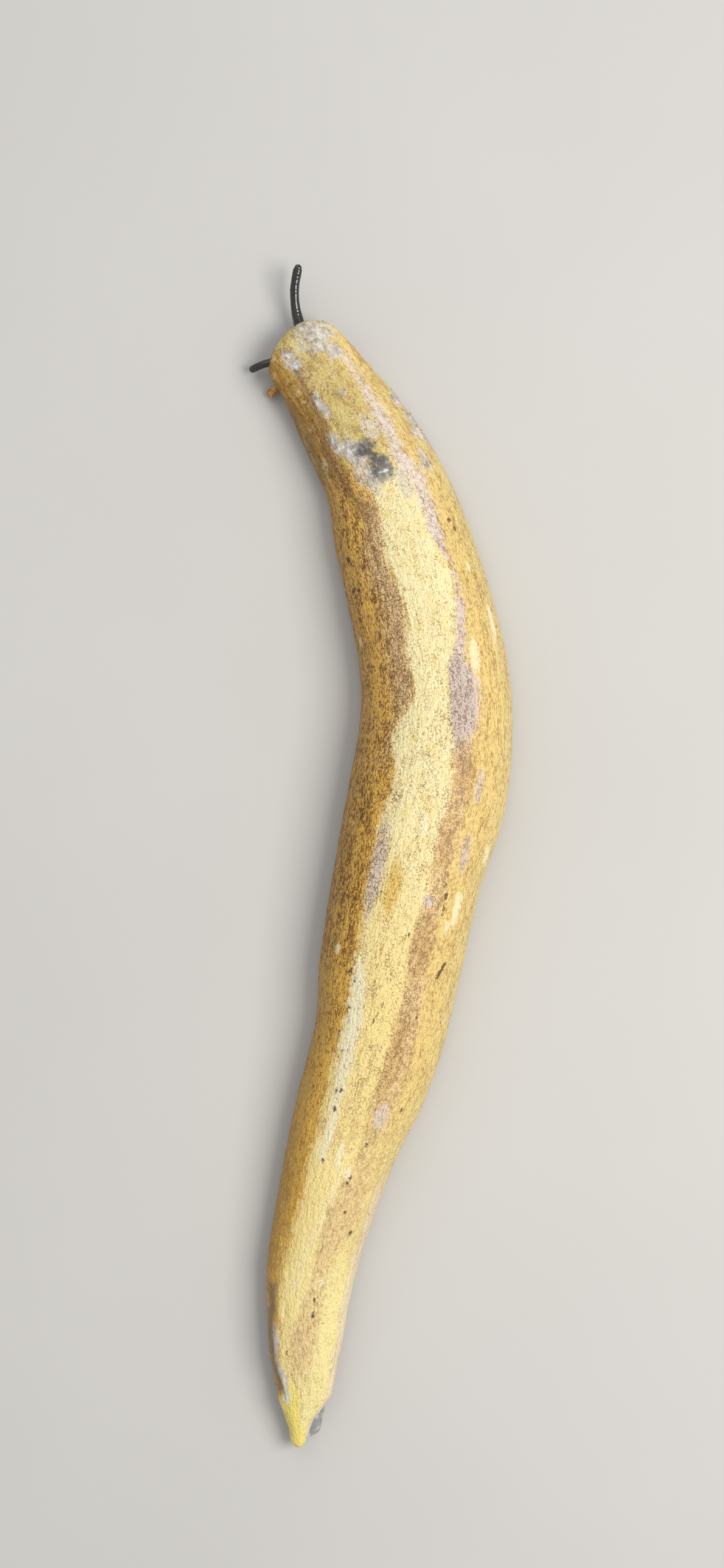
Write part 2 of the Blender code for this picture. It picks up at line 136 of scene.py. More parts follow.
# %% Sizes of the cross-section
LEFT_HALF_WIDTH = ((0, 4.6), (6, 4.9), (12, 5.6), (18, 6.3), (26, 7.6), (45, 8.3), (55, 8.7), (68, 8.3),
                   (76, 7.7), (84, 6.5), (90, 6.5), (105, 5.4), (113, 5.0), (117, 4.6), (120, 4.15),
                   (123.6, 3.0), (126.7, 1.75), (128.5, 1.1), (BODY_LENGTH, 0.75))
RIGHT_HALF_WIDTH = ((0, 3.9), (6, 4.8), (12, 6.0), (18, 6.5), (26, 7.3), (45, 8.4), (55, 8.8), (66, 7.8),
                    (80, 7.9), (90, 7.1), (95, 6.1), (105, 5.1), (113, 4.35), (120, 3.6), (124, 3.0),
                    (125.6, 2.1), (127, 1.3), (128.5, 0.8), (BODY_LENGTH, 0.6))
TOP_HEIGHT = ((0, 4.4), (3, 5.0), (8, 6.0), (15, 7.3), (25, 8.7), (40, 9.8), (55, 10.3), (70, 9.9),
              (85, 8.9), (100, 7.4), (112, 6.0), (120, 4.9), (126, 3.7), (BODY_LENGTH, 2.7))
DOME_POWER = 2.2
DOME_SIDES = 104
KEEL_BOTTOM = ((0, 2.9), (4.5, 2.9), (9.5, 0.5), (104, 0.5), (116, 1.5), (BODY_LENGTH, 1.55))
KEEL_RADIUS = 0.75
KEEL_SHARE = 0.3
KEEL_ANGLES = np.radians([90, 75, 60, 45, 30, 15])
GROOVE_SHARE = 0.62
GROOVE_GAP = 0.05
HEAD_CLEARANCE = 2.9
HEAD_ROOF = 3.1
HEAD_ROOF_ENDS = (7.9, 8.7)
TAIL_ROOF = 1.5
FOOT_STARTS = (7.6, 9.4)
FOOT_END = 129.9
FOOT_HEIGHT = 1.2
FOOT_HALF_WIDTH = ((8.35, 1.9), (20, 2.4), (45, 3.0), (60, 3.1), (80, 2.8), (100, 2.2), (115, 1.6),
                   (123, 1.3), (126, 1.2), (128, 1.05), (129.2, 0.9), (FOOT_END, 0.7))
FOOT_OFFSET = ((8.35, 0), (112, 0), (119, 0.5), (125, 1.35), (127.5, 1.25), (129.2, 1.05), (FOOT_END, 0.9))
FOOT_ROOT_SHARE = 0.4
FOOT_EDGE_SHARE = 0.16
FOOT_TIP_ROUNDING = 0.7
FOOT_TIP_LEAST = 0.15
FOOT_TIP_LENGTH = 2.6
FOOT_SLOPES = (118, 124)
FOOT_LIFT = 1.3
# Each point of the foot's side stands in by so many edges, by millimetres, and by more millimetres at the
# tail. Its height follows, and how much lower it lies at the tail.
FOOT_SIDE = ((2.2, 0, 0, 0, 0), (0.7, 0, 0, 0.1, 0), (0, 0, 0, 0.4, 0.12), (0, 0.05, 0.12, 0.75, 0.2),
             (0.5, 0, 0.35, 1.05, 0.2))


def underside(side, station):
    """Half of the outline below the dome, from the middle of the sole out to the keel."""
    wide = smooth(RIGHT_HALF_WIDTH if side > 0 else LEFT_HALF_WIDTH, station)
    keel = np.minimum(KEEL_RADIUS, KEEL_SHARE * wide)
    bottom = smooth(KEEL_BOTTOM, station)
    middle = side * smooth(FOOT_OFFSET, station)
    blunt = np.maximum(round_end(FOOT_END - station, FOOT_TIP_ROUNDING), FOOT_TIP_LEAST)
    half_foot = smooth(FOOT_HALF_WIDTH, station) * blunt
    reach, edge = middle + half_foot, FOOT_EDGE_SHARE * half_foot
    root = np.clip(middle, -FOOT_ROOT_SHARE * wide, FOOT_ROOT_SHARE * wide)
    groove = np.maximum(np.minimum(GROOVE_SHARE * wide, reach + 0.08), root + GROOVE_GAP)
    groove_height = 0.5 * (FOOT_HEIGHT + np.maximum(FOOT_HEIGHT, bottom)) + GROOVE_GAP
    tail, tip = soft_step(*FOOT_SLOPES, station), round_end(FOOT_END - station, FOOT_TIP_LENGTH)
    flat = reach - FOOT_SIDE[0][0] * edge - middle
    foot = [(middle + share * flat, 0 * wide) for share in (0, 0.25, 0.5, 0.75)]
    for edges, inset, tail_inset, height, tail_drop in FOOT_SIDE:
        foot.append((reach - edges * edge - inset - tail_inset * tail, (height - tail_drop * tail) * tip))
    foot += [(groove, groove_height), (groove + 0.03, bottom + 0.35 * (groove_height - bottom))]
    foot.append((groove + 0.2 * (wide - keel - groove), bottom))

    front = 1 - soft_step(*HEAD_ROOF_ENDS, station)
    channel = front * HEAD_CLEARANCE + (1 - front) * groove
    roof = front * HEAD_ROOF + (1 - front) * np.maximum(TAIL_ROOF, bottom + 0.1)
    hollow = [(share * channel, roof) for share in np.linspace(0, 0.9, 9)]
    hollow += [(channel, bottom + share * (roof - bottom)) for share in (0.8, 0.2)]
    hollow.append((channel + 0.2 * (wide - keel - channel), bottom))

    footing = soft_step(*FOOT_STARTS, station) * (1 - soft_step(FOOT_END - FOOT_LIFT, FOOT_END, station))
    points = [tuple(footing * np.array(on_foot) + (1 - footing) * np.array(in_hollow))
              for on_foot, in_hollow in zip(foot, hollow)]
    inner = points[-1][0]
    for share in (0.2, 0.4, 0.6, 0.8):
        points.append((inner + share * (wide - keel - inner), bottom))
    for angle in KEEL_ANGLES:
        points.append((wide - keel + keel * np.cos(angle), bottom + keel * (1 - np.sin(angle))))
    return [(side * across, height) for across, height in points]


def dome(station):
    """The outline of the back, from the right keel over the top to the left one."""
    left, right = smooth(LEFT_HALF_WIDTH, station), smooth(RIGHT_HALF_WIDTH, station)
    keel_height = smooth(KEEL_BOTTOM, station) + np.minimum(KEEL_RADIUS, KEEL_SHARE * np.minimum(left, right))
    rise = smooth(TOP_HEIGHT, station) - keel_height
    points = []
    for angle in np.linspace(0, math.pi, DOME_SIDES + 1):
        out = abs(math.cos(angle)) ** (2 / DOME_POWER)
        up = abs(math.sin(angle)) ** (2 / DOME_POWER)
        points.append((right * out if math.cos(angle) > 0 else -left * out, keel_height + rise * up))
    return points


UNDER_SIDES = len(underside(1, np.array([50.0])))
print("points in one cross-section:", 2 * UNDER_SIDES + DOME_SIDES + 1)

# %% [markdown]
# ## Rings along the body
# The skin gets a ring of points every fifth of a millimetre, which is as fine as its wrinkles need. Towards
# the two ends the rings close up like the lines of latitude near a pole, so that the ends come out round.

# %% Lay the outline along the spine
FRONT_ROUNDING = 3.2
FRONT_LIP_ROUNDING = 1.5
TAIL_ROUNDING = 0.7
FRONT_RINGS = 24
MIDDLE_RINGS = 608
TAIL_RINGS = 8


def ring_stations():
    """The stations of all rings, closer together at both rounded ends."""
    front = FRONT_ROUNDING * (1 - np.cos(np.linspace(0, math.pi / 2, FRONT_RINGS, endpoint=False)))
    tail = BODY_LENGTH - TAIL_ROUNDING * (1 - np.cos(np.linspace(math.pi / 2, 0, TAIL_RINGS)))
    middle = np.linspace(FRONT_ROUNDING, BODY_LENGTH - TAIL_ROUNDING, MIDDLE_RINGS, endpoint=False)
    return np.concatenate([front, middle, tail])


STATIONS = ring_stations()


def straight_body(station):
    """The body as if its spine were straight: arrays of across, station and height for every point."""
    right, left = underside(1, station), underside(-1, station)
    columns = right + dome(station) + left[::-1]
    across = np.column_stack([column[0] for column in columns])
    height = np.column_stack([column[1] for column in columns])
    wide = round_end(station, FRONT_ROUNDING) * round_end(BODY_LENGTH - station, TAIL_ROUNDING)
    tall = round_end(station, FRONT_LIP_ROUNDING) * round_end(BODY_LENGTH - station, TAIL_ROUNDING)
    middle = ((smooth(KEEL_BOTTOM, station) + smooth(TOP_HEIGHT, station)) / 2)[:, None]
    height = middle + tall[:, None] * (height - middle)
    along = np.repeat(station[:, None], across.shape[1], axis=1)
    return np.stack([across * wide[:, None], along, height], axis=-1)


def bend(straight):
    """Bends the straight body along its spine."""
    places, rights = spine_frame(straight[:, 0, 1])
    flat = places[:, None, :] + straight[:, :, :1] * rights[:, None, :]
    return np.concatenate([flat, straight[:, :, 2:]], axis=-1)


STRAIGHT = straight_body(STATIONS)
BENT = bend(STRAIGHT)
lowest, highest = BENT[..., 2].min(), BENT[..., 2].max()
print("rings and columns:", BENT.shape[:2], "lowest and highest in mm:", lowest, highest)

# %% [markdown]
# ## Where the markings lie
# The back carries a cream band with a brown band on its left and a lilac one on its right, between golden
# flanks. Towards the tail the bands break up into finer stripes, and a groove runs along the left side.
# A picture wrapped over the back would stretch down the flanks. Here each band's edge is a curve across
# the body, given at a few stations, and each patch is an oval with a place and a size. What is stored at
# each point of the skin is how far inside a band it lies, in millimetres. The shader frays that edge later.

# %% Edges of the bands, as station and millimetres right of the spine
CREAM_LEFT = ((14, 1.3), (17, 0.8), (18.4, -0.9), (20, -1.7), (24, -2.1), (29, -2.7), (32, -2.1),
              (35, -2.1), (40, -2.9), (43, -2.5), (45, -2.7), (47, -3.8), (50, -4.9), (54, -4.0),
              (60, -4.6), (66, -4.4), (73, -4.0), (80, -3.6), (87, -3.8), (95, -3.4), (104, -3.0),
              (113, -2.4), (123, -1.8), (BODY_LENGTH, -0.6))
CREAM_RIGHT = ((14, 2.1), (17, 2.2), (19, 2.4), (22, 2.7), (26.5, 2.7), (29, 3.0), (32, 3.8), (36, 3.1),
               (40, 2.1), (42.5, 1.1), (47, 1.2), (50, 1.8), (55, 2.2), (60, 1.8), (65, 2.1), (71, 1.3),
               (78, 1.9), (85, 1.7), (89, 1.2), (94, 1.5), (99, 1.4), (103, 0.6), (108, 0.0), (113, -0.4),
               (BODY_LENGTH, -0.4))
BROWN_LEFT = ((21, -2.9), (24, -3.6), (29, -4.7), (33, -4.3), (39, -4.7), (43, -4.7), (46, -4.4), (50, -5.0),
              (55, -6.2))
LILAC_RIGHT = ((24, 3.9), (30, 4.0), (35, 4.3), (38, 3.9), (41, 3.3), (43.2, 4.5), (46.6, 4.6),
               (49.2, 3.9), (53, 4.3), (60, 4.3), (64, 3.9), (72, 3.9), (80, 4.5), (89, 4.3), (97, 3.3),
               (108, 2.6), (118, 1.7))
WHITE_STRIP = ((73, -3.9), (76.7, -3.2), (79.5, -2.8), (83.6, -2.6), (88, -2.4), (95, -2.1))
WHITE_STRIP_WIDTH = ((75, 0.4), (80, 0.8), (88, 0.55), (97, 0.2))
REAR_LEFT = ((96, -3.1), (98, -3.25), (101.5, -3.0), (105, -3.15), (108, -2.8), (111.5, -2.95), (114, -3.3))
REAR_RIGHT = ((96, 1.1), (98, 0.9), (100.7, 0.15), (104.3, -0.35), (107.8, -0.25), (111.2, -0.35),
              (114, -1.1), (117, -1.75), (119.5, -1.8), (123, -1.3))
TAN_RIGHT = ((96, 3.5), (99.7, 3.55), (103, 3.7), (107.3, 1.9), (111, 1.45), (114.4, 1.5), (118, 1.1),
             (121.4, 0.3), (125, -0.4))
REAR_CORE = ((97.5, 0.7), (99.2, 0.3), (101.5, -0.25), (103.6, -0.5), (107, -1.0), (112, -1.9))
HOOD_STRIP = ((6, 3.3), (10.7, 3.2), (13.8, 3.0), (16.3, 2.9), (18.3, 2.6), (21.4, 3.2), (24, 3.3), (28, 3.2))
HOOD_STRIP_WIDTH = ((6, 0.25), (10.7, 0.5), (14, 0.85), (17, 0.75), (20, 0.9), (24, 0.7), (28, 0.45))
HOOD_STREAK = ((3, -1.7), (7.5, -2.5), (11, -2.8), (13.5, -3.6), (17.5, -4.2), (22, -3.6))

ACROSS, STATION, HEIGHT = STRAIGHT[..., 0], STRAIGHT[..., 1], STRAIGHT[..., 2]
COLUMN = np.repeat(np.arange(STRAIGHT.shape[1])[None, :], len(STATIONS), axis=0)
HALF_WIDTH = np.where(ACROSS > 0, smooth(RIGHT_HALF_WIDTH, STATION), smooth(LEFT_HALF_WIDTH, STATION))
SIDEWAYS = ACROSS / HALF_WIDTH
UNDER = soft_step(2, 7, np.maximum(UNDER_SIDES - COLUMN, COLUMN - UNDER_SIDES - DOME_SIDES).astype(float))


def between(left_edge, right_edge, first, last, fade):
    """How far each point lies inside a band, in millimetres. Past its ends the band fades out."""
    inside = np.minimum(ACROSS - left_edge, right_edge - ACROSS)
    ends = np.minimum(STATION - first, last - STATION) * fade
    return np.clip(np.minimum(inside, ends), -3, 3)


def line(stations, half_width, first, last):
    """How far each point lies inside a stripe that follows a line."""
    centre = smooth(stations, STATION)
    return between(centre - half_width, centre + half_width, first, last, 0.5)


def patches(places):
    """Soft ovals, each with a station, a place across, a half length and a half width."""
    best = np.full(STATION.shape, -1.0)
    for station, across, half_length, half_width in places:
        spread = ((STATION - station) / half_length) ** 2 + ((ACROSS - across) / half_width) ** 2
        best = np.maximum(best, 1 - spread)
    return best


cream_left, cream_right = smooth(CREAM_LEFT, STATION), smooth(CREAM_RIGHT, STATION)
MARKS = {
    "cream": between(cream_left, cream_right, 17.5, 99, 0.3),
    "brown": between(smooth(BROWN_LEFT, STATION), cream_left, 22, 51, 0.35),
    "dusk": between(-20, cream_left, 51, 114, 0.15),
    "rear": between(smooth(REAR_LEFT, STATION), smooth(REAR_RIGHT, STATION), 96, 115, 0.3),
    "tan": between(smooth(REAR_RIGHT, STATION), smooth(TAN_RIGHT, STATION), 97, 124, 0.3),
    "core": line(REAR_CORE, 0.5, 97.5, 112),
    "lilac": between(cream_right, smooth(LILAC_RIGHT, STATION), 24, 121, 0.35),
    "white": line(WHITE_STRIP, smooth(WHITE_STRIP_WIDTH, STATION), 75, 97),
    "strip": line(HOOD_STRIP, smooth(HOOD_STRIP_WIDTH, STATION), 6, 28),
    "streak": line(HOOD_STREAK, 0.45, 2.5, 23),
}
print("points inside the cream band:", int((MARKS["cream"] > 0).sum()))

# %% [markdown]
# The patches come next. Dried slime with crumbs of soil lies on the front of the mantle. Two dabs of mud
# stick behind it, and small specks of soil are scattered along the back. Soil stands a little proud of the
# skin, so the same patches will raise the surface as well as paint it.

# %% Patches of slime, mud and colour
SLIME = ((2.2, 1.9, 2.5, 2.1), (3.2, -1.8, 2.0, 0.9), (4.8, 2.6, 1.6, 0.9), (15.9, -1.8, 1.9, 0.8),
         (18.9, -1.3, 1.6, 0.6), (9.4, 0.9, 0.7, 0.5), (9.3, -1.9, 1.7, 0.55), (13.8, -2.7, 1.6, 0.7),
         (16.3, 5.9, 2.6, 0.7), (12.6, 5.6, 1.3, 0.5), (20, 4.8, 1.5, 0.6))
MUD = ((16.0, -0.3, 1.2, 1.2), (17.3, 0.0, 0.9, 0.7), (18.8, 0.2, 1.8, 1.35))
GREYED = ((16.2, -1.4, 2.6, 1.3), (19.4, -1.2, 2.2, 1.3), (21.5, 1.8, 2.0, 0.9), (14.2, 1.2, 1.9, 1.0),
          (18.6, -2.2, 1.7, 0.9))
PLUM = ((45.6, 2.4, 4.4, 1.6), (42.0, 2.1, 2.6, 0.9))
RUST = ((52.8, 3.3, 3.6, 1.7), (60.3, 2.7, 4.0, 1.3), (71.5, 2.6, 5.0, 1.2), (84.5, 2.4, 6.0, 1.1),
        (95.5, 2.2, 5.0, 1.2))
MUSTARD = ((66.5, -1.7, 3.9, 1.0),)
LILAC_PATCH = ((64.8, -3.8, 6.0, 0.9), (67, 2.4, 0.9, 0.8), (61, 5.2, 2.5, 0.6), (54, 5.3, 2.2, 0.5),
               (91.0, 2.9, 1.7, 0.8))
# The first dab, a long thin one on the right flank, is a painted highlight.
PALE_DABS_AND_HIGHLIGHT = ((38, 7.0, 2.8, 0.35), (31.6, 5.8, 0.8, 0.3), (36.8, -7.5, 0.9, 0.25), (41, 4.4, 2.3, 0.65),
             (58.9, 0.2, 1.3, 0.4), (69.3, 5.0, 1.0, 0.35), (60.8, 7.6, 1.6, 0.35), (74.2, -6.0, 0.8, 0.3),
             (98.1, 1.1, 1.0, 0.4), (67.2, 5.6, 2.4, 0.5), (96.5, -0.3, 1.8, 0.5), (110.9, 1.0, 0.5, 0.4))
SPECKS = ((27.3, -6.6, 0.17), (27.9, -6.5, 0.11), (31, -7.0, 0.16), (31.1, -6.4, 0.12), (32.5, -1.6, 0.13),
          (26.3, 5.1, 0.16), (27.3, 5.4, 0.12), (58.8, -6.6, 0.15), (59.6, -6.6, 0.22), (64.8, 3.8, 0.13),
          (66.0, 4.1, 0.19), (67.4, 4.2, 0.15), (68.2, 4.2, 0.1), (47.5, 3.6, 0.12), (76.2, -4.1, 0.17),
          (76.5, -4.5, 0.14), (77.1, -3.5, 0.14), (80.2, -3.4, 0.12), (73.8, -4.4, 0.11), (67.0, -2.9, 0.1),
          (89.4, -2.1, 0.16), (89.7, -2.6, 0.14), (91.6, -2.2, 0.18), (97.5, -1.9, 0.13), (98.5, 1.5, 0.15),
          (99.2, 1.3, 0.13), (104.6, 3.0, 0.15), (102.4, 1.9, 0.11), (112.9, 0.5, 0.14), (114.6, 0.5, 0.18),
          (89.9, 4.9, 0.12), (71.0, 1.1, 0.12), (119.2, -2.1, 0.12), (79.7, 4.0, 0.12), (94.5, 2.2, 0.1))
SCRATCHES = ((73.2, 5.7, 75.0, 5.2, 0.13), (78.4, 0.2, 81.6, -0.7, 0.05))
SPECK_STRETCH = 1.9
TAIL_GROOVE = ((110, -4.6), (112, -4.5), (117, -4.3), (120, -3.85), (121.6, -3.35), (123.6, -2.55))
GROOVE_BANK = ((116, -3.8), (120, -3.25), (121.5, -2.7), (123, -2.1), (124.5, -1.7))
LEMON_TIP = ((126.8, -1.4, 4.7, 1.4), (129.4, -0.3, 2.2, 0.9))


def specks():
    """How far each point lies inside a speck of soil. Specks are a little longer than wide."""
    best = np.full(STATION.shape, -1.0)
    for station, across, radius in SPECKS:
        apart = np.hypot((STATION - station) / SPECK_STRETCH, ACROSS - across)
        best = np.maximum(best, radius - apart)
    for station, across, last_station, last_across, radius in SCRATCHES:
        length = last_station - station
        share = np.clip((STATION - station) / length, 0, 1)
        aside = ACROSS - across - share * (last_across - across)
        best = np.maximum(best, radius - np.hypot(STATION - station - share * length, aside))
    return best


OVALS = {"slime": SLIME, "mud": MUD, "greyed": GREYED, "plum": PLUM, "rust": RUST, "mustard": MUSTARD,
         "lilac_patch": LILAC_PATCH, "pale": PALE_DABS_AND_HIGHLIGHT, "lemon": LEMON_TIP}
MARKS.update({name: patches(ovals) for name, ovals in OVALS.items()})
MARKS["speck"] = specks()
MARKS["groove"] = line(TAIL_GROOVE, 0.38, 112, 124)
MARKS["bank"] = line(GROOVE_BANK, 0.34, 116.5, 124.6)
MARKS.update({"under": UNDER, "side": SIDEWAYS})
print("marks:", ", ".join(sorted(MARKS)))

# %% [markdown]
# ## Relief
# A slug's skin is wet leather: fine grains all over, and lengthwise folds along the flanks where the body
# stretches and shortens. A bump map would only shade them. The points are moved instead, so that the folds
# also show on the outline and in the exported mesh. Noise decides by how much. It is read on the straight
# body, stretched along the station, and so the folds follow every bend.


# %% Move the skin's points in and out
SWELL_HEIGHT = 0.13
SPECK_HEIGHT = 0.07
DAB_HEIGHT = 0.05
GROOVE_DEPTH = 0.34
CALM_LENGTH = 2.5


def grain(places, sizes, seed):
    """Noise between -1 and 1 whose lumps have these sizes in millimetres, across, along and up."""
    scaled = places.reshape(-1, 3) / np.array(sizes) + seed
    values = [noise.noise(row) for row in scaled.tolist()]
    return np.array(values).reshape(places.shape[:-1])


def relief():
    """How far each point of the body's skin moves outwards, in millimetres."""
    flank = soft_step(0.3, 0.85, np.abs(SIDEWAYS))
    hood = 1 - soft_step(8, 26, STATION)
    tail = soft_step(85, 120, STATION)
    left_bend = soft_step(0.2, 0.8, -SIDEWAYS) * soft_step(24, 34, STATION) * (1 - soft_step(56, 66, STATION))
    swell = SWELL_HEIGHT * grain(STRAIGHT, (9, 14, 9), 3.1)
    fold = 1 - 2 * np.abs(grain(STRAIGHT, (0.75, 6.5, 0.75), 11.7))
    fold += 0.6 * (1 - 2 * np.abs(grain(STRAIGHT, (0.45, 3.2, 0.45), 23.9)))
    cross_fold = grain(STRAIGHT, (2.6, 0.8, 2.6), 37.3)
    pebble = grain(STRAIGHT, (0.5, 0.62, 0.5), 51.9)
    lump = grain(STRAIGHT, (1.5, 2.1, 1.5), 67.7)
    crumb = np.maximum(0, grain(STRAIGHT, (0.42, 0.42, 0.42), 83.3))
    moved = swell + (0.014 + 0.055 * flank + 0.03 * hood + 0.02 * tail) * fold
    moved += 0.04 * left_bend * cross_fold + (0.024 + 0.03 * hood) * pebble + (0.02 + 0.08 * hood) * lump
    slime = soft_step(-0.2, 0.5, MARKS["slime"] + 0.5 * lump)
    mud = soft_step(-0.25, 0.45, MARKS["mud"] + 0.5 * lump)
    moved += slime * (0.03 + 0.34 * crumb) + mud * (0.22 + 0.22 * crumb + 0.16 * lump)
    moved += SPECK_HEIGHT * soft_step(-0.1, 0.15, MARKS["speck"])
    moved += DAB_HEIGHT * soft_step(0, 0.8, MARKS["pale"])
    moved -= GROOVE_DEPTH * soft_step(-0.5, 0.3, MARKS["groove"])
    ends = round_end(STATION, CALM_LENGTH) * round_end(BODY_LENGTH - STATION, CALM_LENGTH)
    calm = soft_step(0, 1.2, HEIGHT) * ends
    return moved * calm * (1 - 0.75 * UNDER)


def outward(points):
    """The direction out of the skin at every point, from its neighbours in the rings and the columns."""
    ring = points[:, :-1]
    around = np.roll(ring, -1, axis=1) - np.roll(ring, 1, axis=1)
    along = np.gradient(ring, axis=0)
    normal = np.cross(along, around)
    normal /= np.maximum(np.linalg.norm(normal, axis=-1, keepdims=True), 1e-9)
    return np.concatenate([normal, normal[:, :1]], axis=1)


RELIEF = relief()
OUTWARD = outward(BENT)
top_column = UNDER_SIDES + DOME_SIDES // 2
OUTWARD *= np.sign(OUTWARD[len(STATIONS) // 2, top_column, 2])
SKIN = BENT + RELIEF[..., None] * OUTWARD
SKIN[..., 2] = np.maximum(SKIN[..., 2], 0)
print("relief from", round(float(RELIEF.min()), 3), "to", round(float(RELIEF.max()), 3), "mm")

# %% [markdown]
# ## The closed skin
# A tube could be built face by face. It is simpler to take Blender's own grid, move its points to their
# places, and weld the two long edges together along the middle of the sole, where the seam is never seen.
# At each end all points of the ring fall on one spot, and welding them closes the skin.
#
# The grid also gives the skin a map for baking. The body is much longer than a square picture is, so it is
# cut in half, and the halves lie side by side. The back gets most of the width, the underside little.


# %% Weld a grid into a closed tube
def closed_tube(points):
    """A grid laid through rings of points. Its first and last column are the same line, not yet welded."""
    rings, columns = points.shape[:2]
    bm = bmesh.new()
    bmesh.ops.create_grid(bm, x_segments=columns - 1, y_segments=rings - 1, size=1)
    number = np.array([vert.co[:2] for vert in bm.verts])
    column = np.rint((number[:, 0] + 1) / 2 * (columns - 1)).astype(int)
    ring = np.rint((number[:, 1] + 1) / 2 * (rings - 1)).astype(int)
    for vert, place in zip(bm.verts, (points[ring, column] * MILLIMETRE).tolist()):
        vert.co = place
    return bm, ring, column


def weld(bm, ring, column, rings, columns):
    """Closes the tube's long seam and both of its ends, and counts the edges that stay open."""
    edge = (column == 0) | (column == columns - 1) | (ring == 0) | (ring == rings - 1)
    bm.verts.ensure_lookup_table()
    loose = [bm.verts[i] for i in np.flatnonzero(edge)]
    bmesh.ops.remove_doubles(bm, verts=loose, dist=1e-7)
    bmesh.ops.recalc_face_normals(bm, faces=bm.faces[:])
    return sum(len(e.link_faces) != 2 for e in bm.edges)


def finished_mesh(bm, name):
    """Hands a bmesh over as an ordinary mesh."""
    mesh = bpy.data.meshes.new(name)
    bm.to_mesh(mesh)
    bm.free()
    return mesh


def place_in_scene(name, data):
    """Puts a mesh, a lamp or the camera into the scene."""
    obj = bpy.data.objects.new(name, data)
    bpy.context.scene.collection.objects.link(obj)
    return obj


def piece(name, mesh):
    """Puts a finished mesh into the scene, riding on the slug's one body."""
    mesh.shade_smooth()
    obj = place_in_scene(name, mesh)
    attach(obj, "root")
    return obj


def store(mesh, name, values, kind="FLOAT"):
    """Keeps one number, or three, at every point of a mesh."""
    layer = mesh.attributes.new(name, kind, "POINT")
    layer.data.foreach_set("vector" if kind == "FLOAT_VECTOR" else "value", values.astype(np.float32).ravel())


MAP_MARGIN = 0.006
MAP_UNDER = 0.06


def bake_map(mesh, ring, column, rings, columns):
    """Lays the front and the rear half of the body side by side in the map named OFBake."""
    stops = (0, UNDER_SIDES, UNDER_SIDES + DOME_SIDES, columns - 1)
    spots = (MAP_MARGIN, MAP_UNDER, 0.5 - MAP_UNDER, 0.5 - MAP_MARGIN)
    corner = np.empty(len(mesh.loops), dtype=np.int32)
    mesh.loops.foreach_get("vertex_index", corner)
    half = rings // 2
    rear = np.repeat(ring[corner.reshape(-1, 4)].min(axis=1) >= half, 4)
    u = np.interp(column[corner], stops, spots) + 0.5 * rear
    share = np.where(rear, (ring[corner] - half) / (rings - 1 - half), ring[corner] / half)
    v = MAP_MARGIN + share * (1 - 2 * MAP_MARGIN)
    layer = mesh.uv_layers.new(name="OFBake")
    layer.uv.foreach_set("vector", np.column_stack([u, v]).astype(np.float32).ravel())


print("share of the map's width for each half of the back:", 0.5 - 2 * MAP_UNDER)

# %% [markdown]
# The skin gets its marks, its straight places and its map before the seam is welded, while each of its
# points still knows its ring and its column.

# %% Make the body's skin
bm, ring_of, column_of = closed_tube(SKIN)
body_mesh = finished_mesh(bm, "body_skin")
for mark, values in MARKS.items():
    store(body_mesh, mark, values[ring_of, column_of])
store(body_mesh, "unbent", STRAIGHT[ring_of, column_of], "FLOAT_VECTOR")
bake_map(body_mesh, ring_of, column_of, *SKIN.shape[:2])
bm = bmesh.new()
bm.from_mesh(body_mesh)
open_edges = weld(bm, ring_of, column_of, *SKIN.shape[:2])
bm.to_mesh(body_mesh)
bm.free()
body_skin = piece("body_skin", body_mesh)
BODY_NODES = [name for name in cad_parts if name.startswith(("mantle", "foot"))]
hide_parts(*BODY_NODES)
print("body skin:", len(body_mesh.polygons), "faces, open edges:", open_edges)

# %% [markdown]
# ## The head and its feelers
# The head lies low under the front of the mantle and looks out to the left. It is a flattened tube with
# two side lips, an upper lip and an upright mouth, and it carries four feelers. The two upper ones are
# ringed and bear the eyes. The two lower ones are short and end in two lobes. In life all of this is one
# skin, so the tubes are laid into each other and then fused by a voxel remesh, which also rounds the creases
# between them. Its neck reaches back into the body, where it can't be seen.

# %% Sizes of the head and the feelers
NECK_STATION = 8.0
HEAD_LENGTH = 7.0
HEAD_HEADING = ((0, 31.5), (3, 47), (HEAD_LENGTH, 53))
HEAD_HALF_WIDTH = ((-2.4, 1.5), (0, 2.35), (1.5, 2.3), (3.2, 2.55), (4.5, 2.55), (5.6, 2.15), (6.4, 1.55),
                   (HEAD_LENGTH, 1.0))
HEAD_HALF_HEIGHT = ((-2.4, 0.8), (0, 1.2), (4.5, 1.2), (5.8, 1.1), (6.5, 0.9), (HEAD_LENGTH, 0.7))
HEAD_MIDDLE = ((0, 1.33), (4.5, 1.33), (HEAD_LENGTH, 1.15))
NECK_REACH = 2.4
HEAD_ROUNDING = 0.55
LIPS = ((6.78, 0.46, 0.82, (0.5, 0.42, 0.47)), (6.78, -0.46, 0.82, (0.5, 0.42, 0.47)),
        (6.76, 0.0, 1.5, (0.85, 0.36, 0.3)))
MOUTH = (7.2, 0.0, 0.8)
UPPER_RIGHT = {"root": (5.4, 1.45, 1.75), "length": 9.2, "radius": 0.6,
               "heading": ((0, 13), (2.2, 15), (3.4, 14), (4.6, 8), (6, 0), (7.6, -11), (9.2, -13)),
               "height": ((0, 1.75), (3, 1.95), (9.2, 3.4))}
UPPER_LEFT = {"root": (5.6, -1.25, 1.75), "length": 4.6, "radius": 0.5,
              "heading": ((0, 72), (1.2, 83), (2.2, 98), (3.5, 112), (4.6, 116)),
              "height": ((0, 1.75), (2.2, 1.8), (4.6, 1.2))}
LOWER_LEFT = {"root": (4.4, -1.7, 0.95), "length": 3.8, "radius": 0.5,
              "heading": ((0, 120), (3.8, 134)), "height": ((0, 0.95), (3.8, 0.75))}
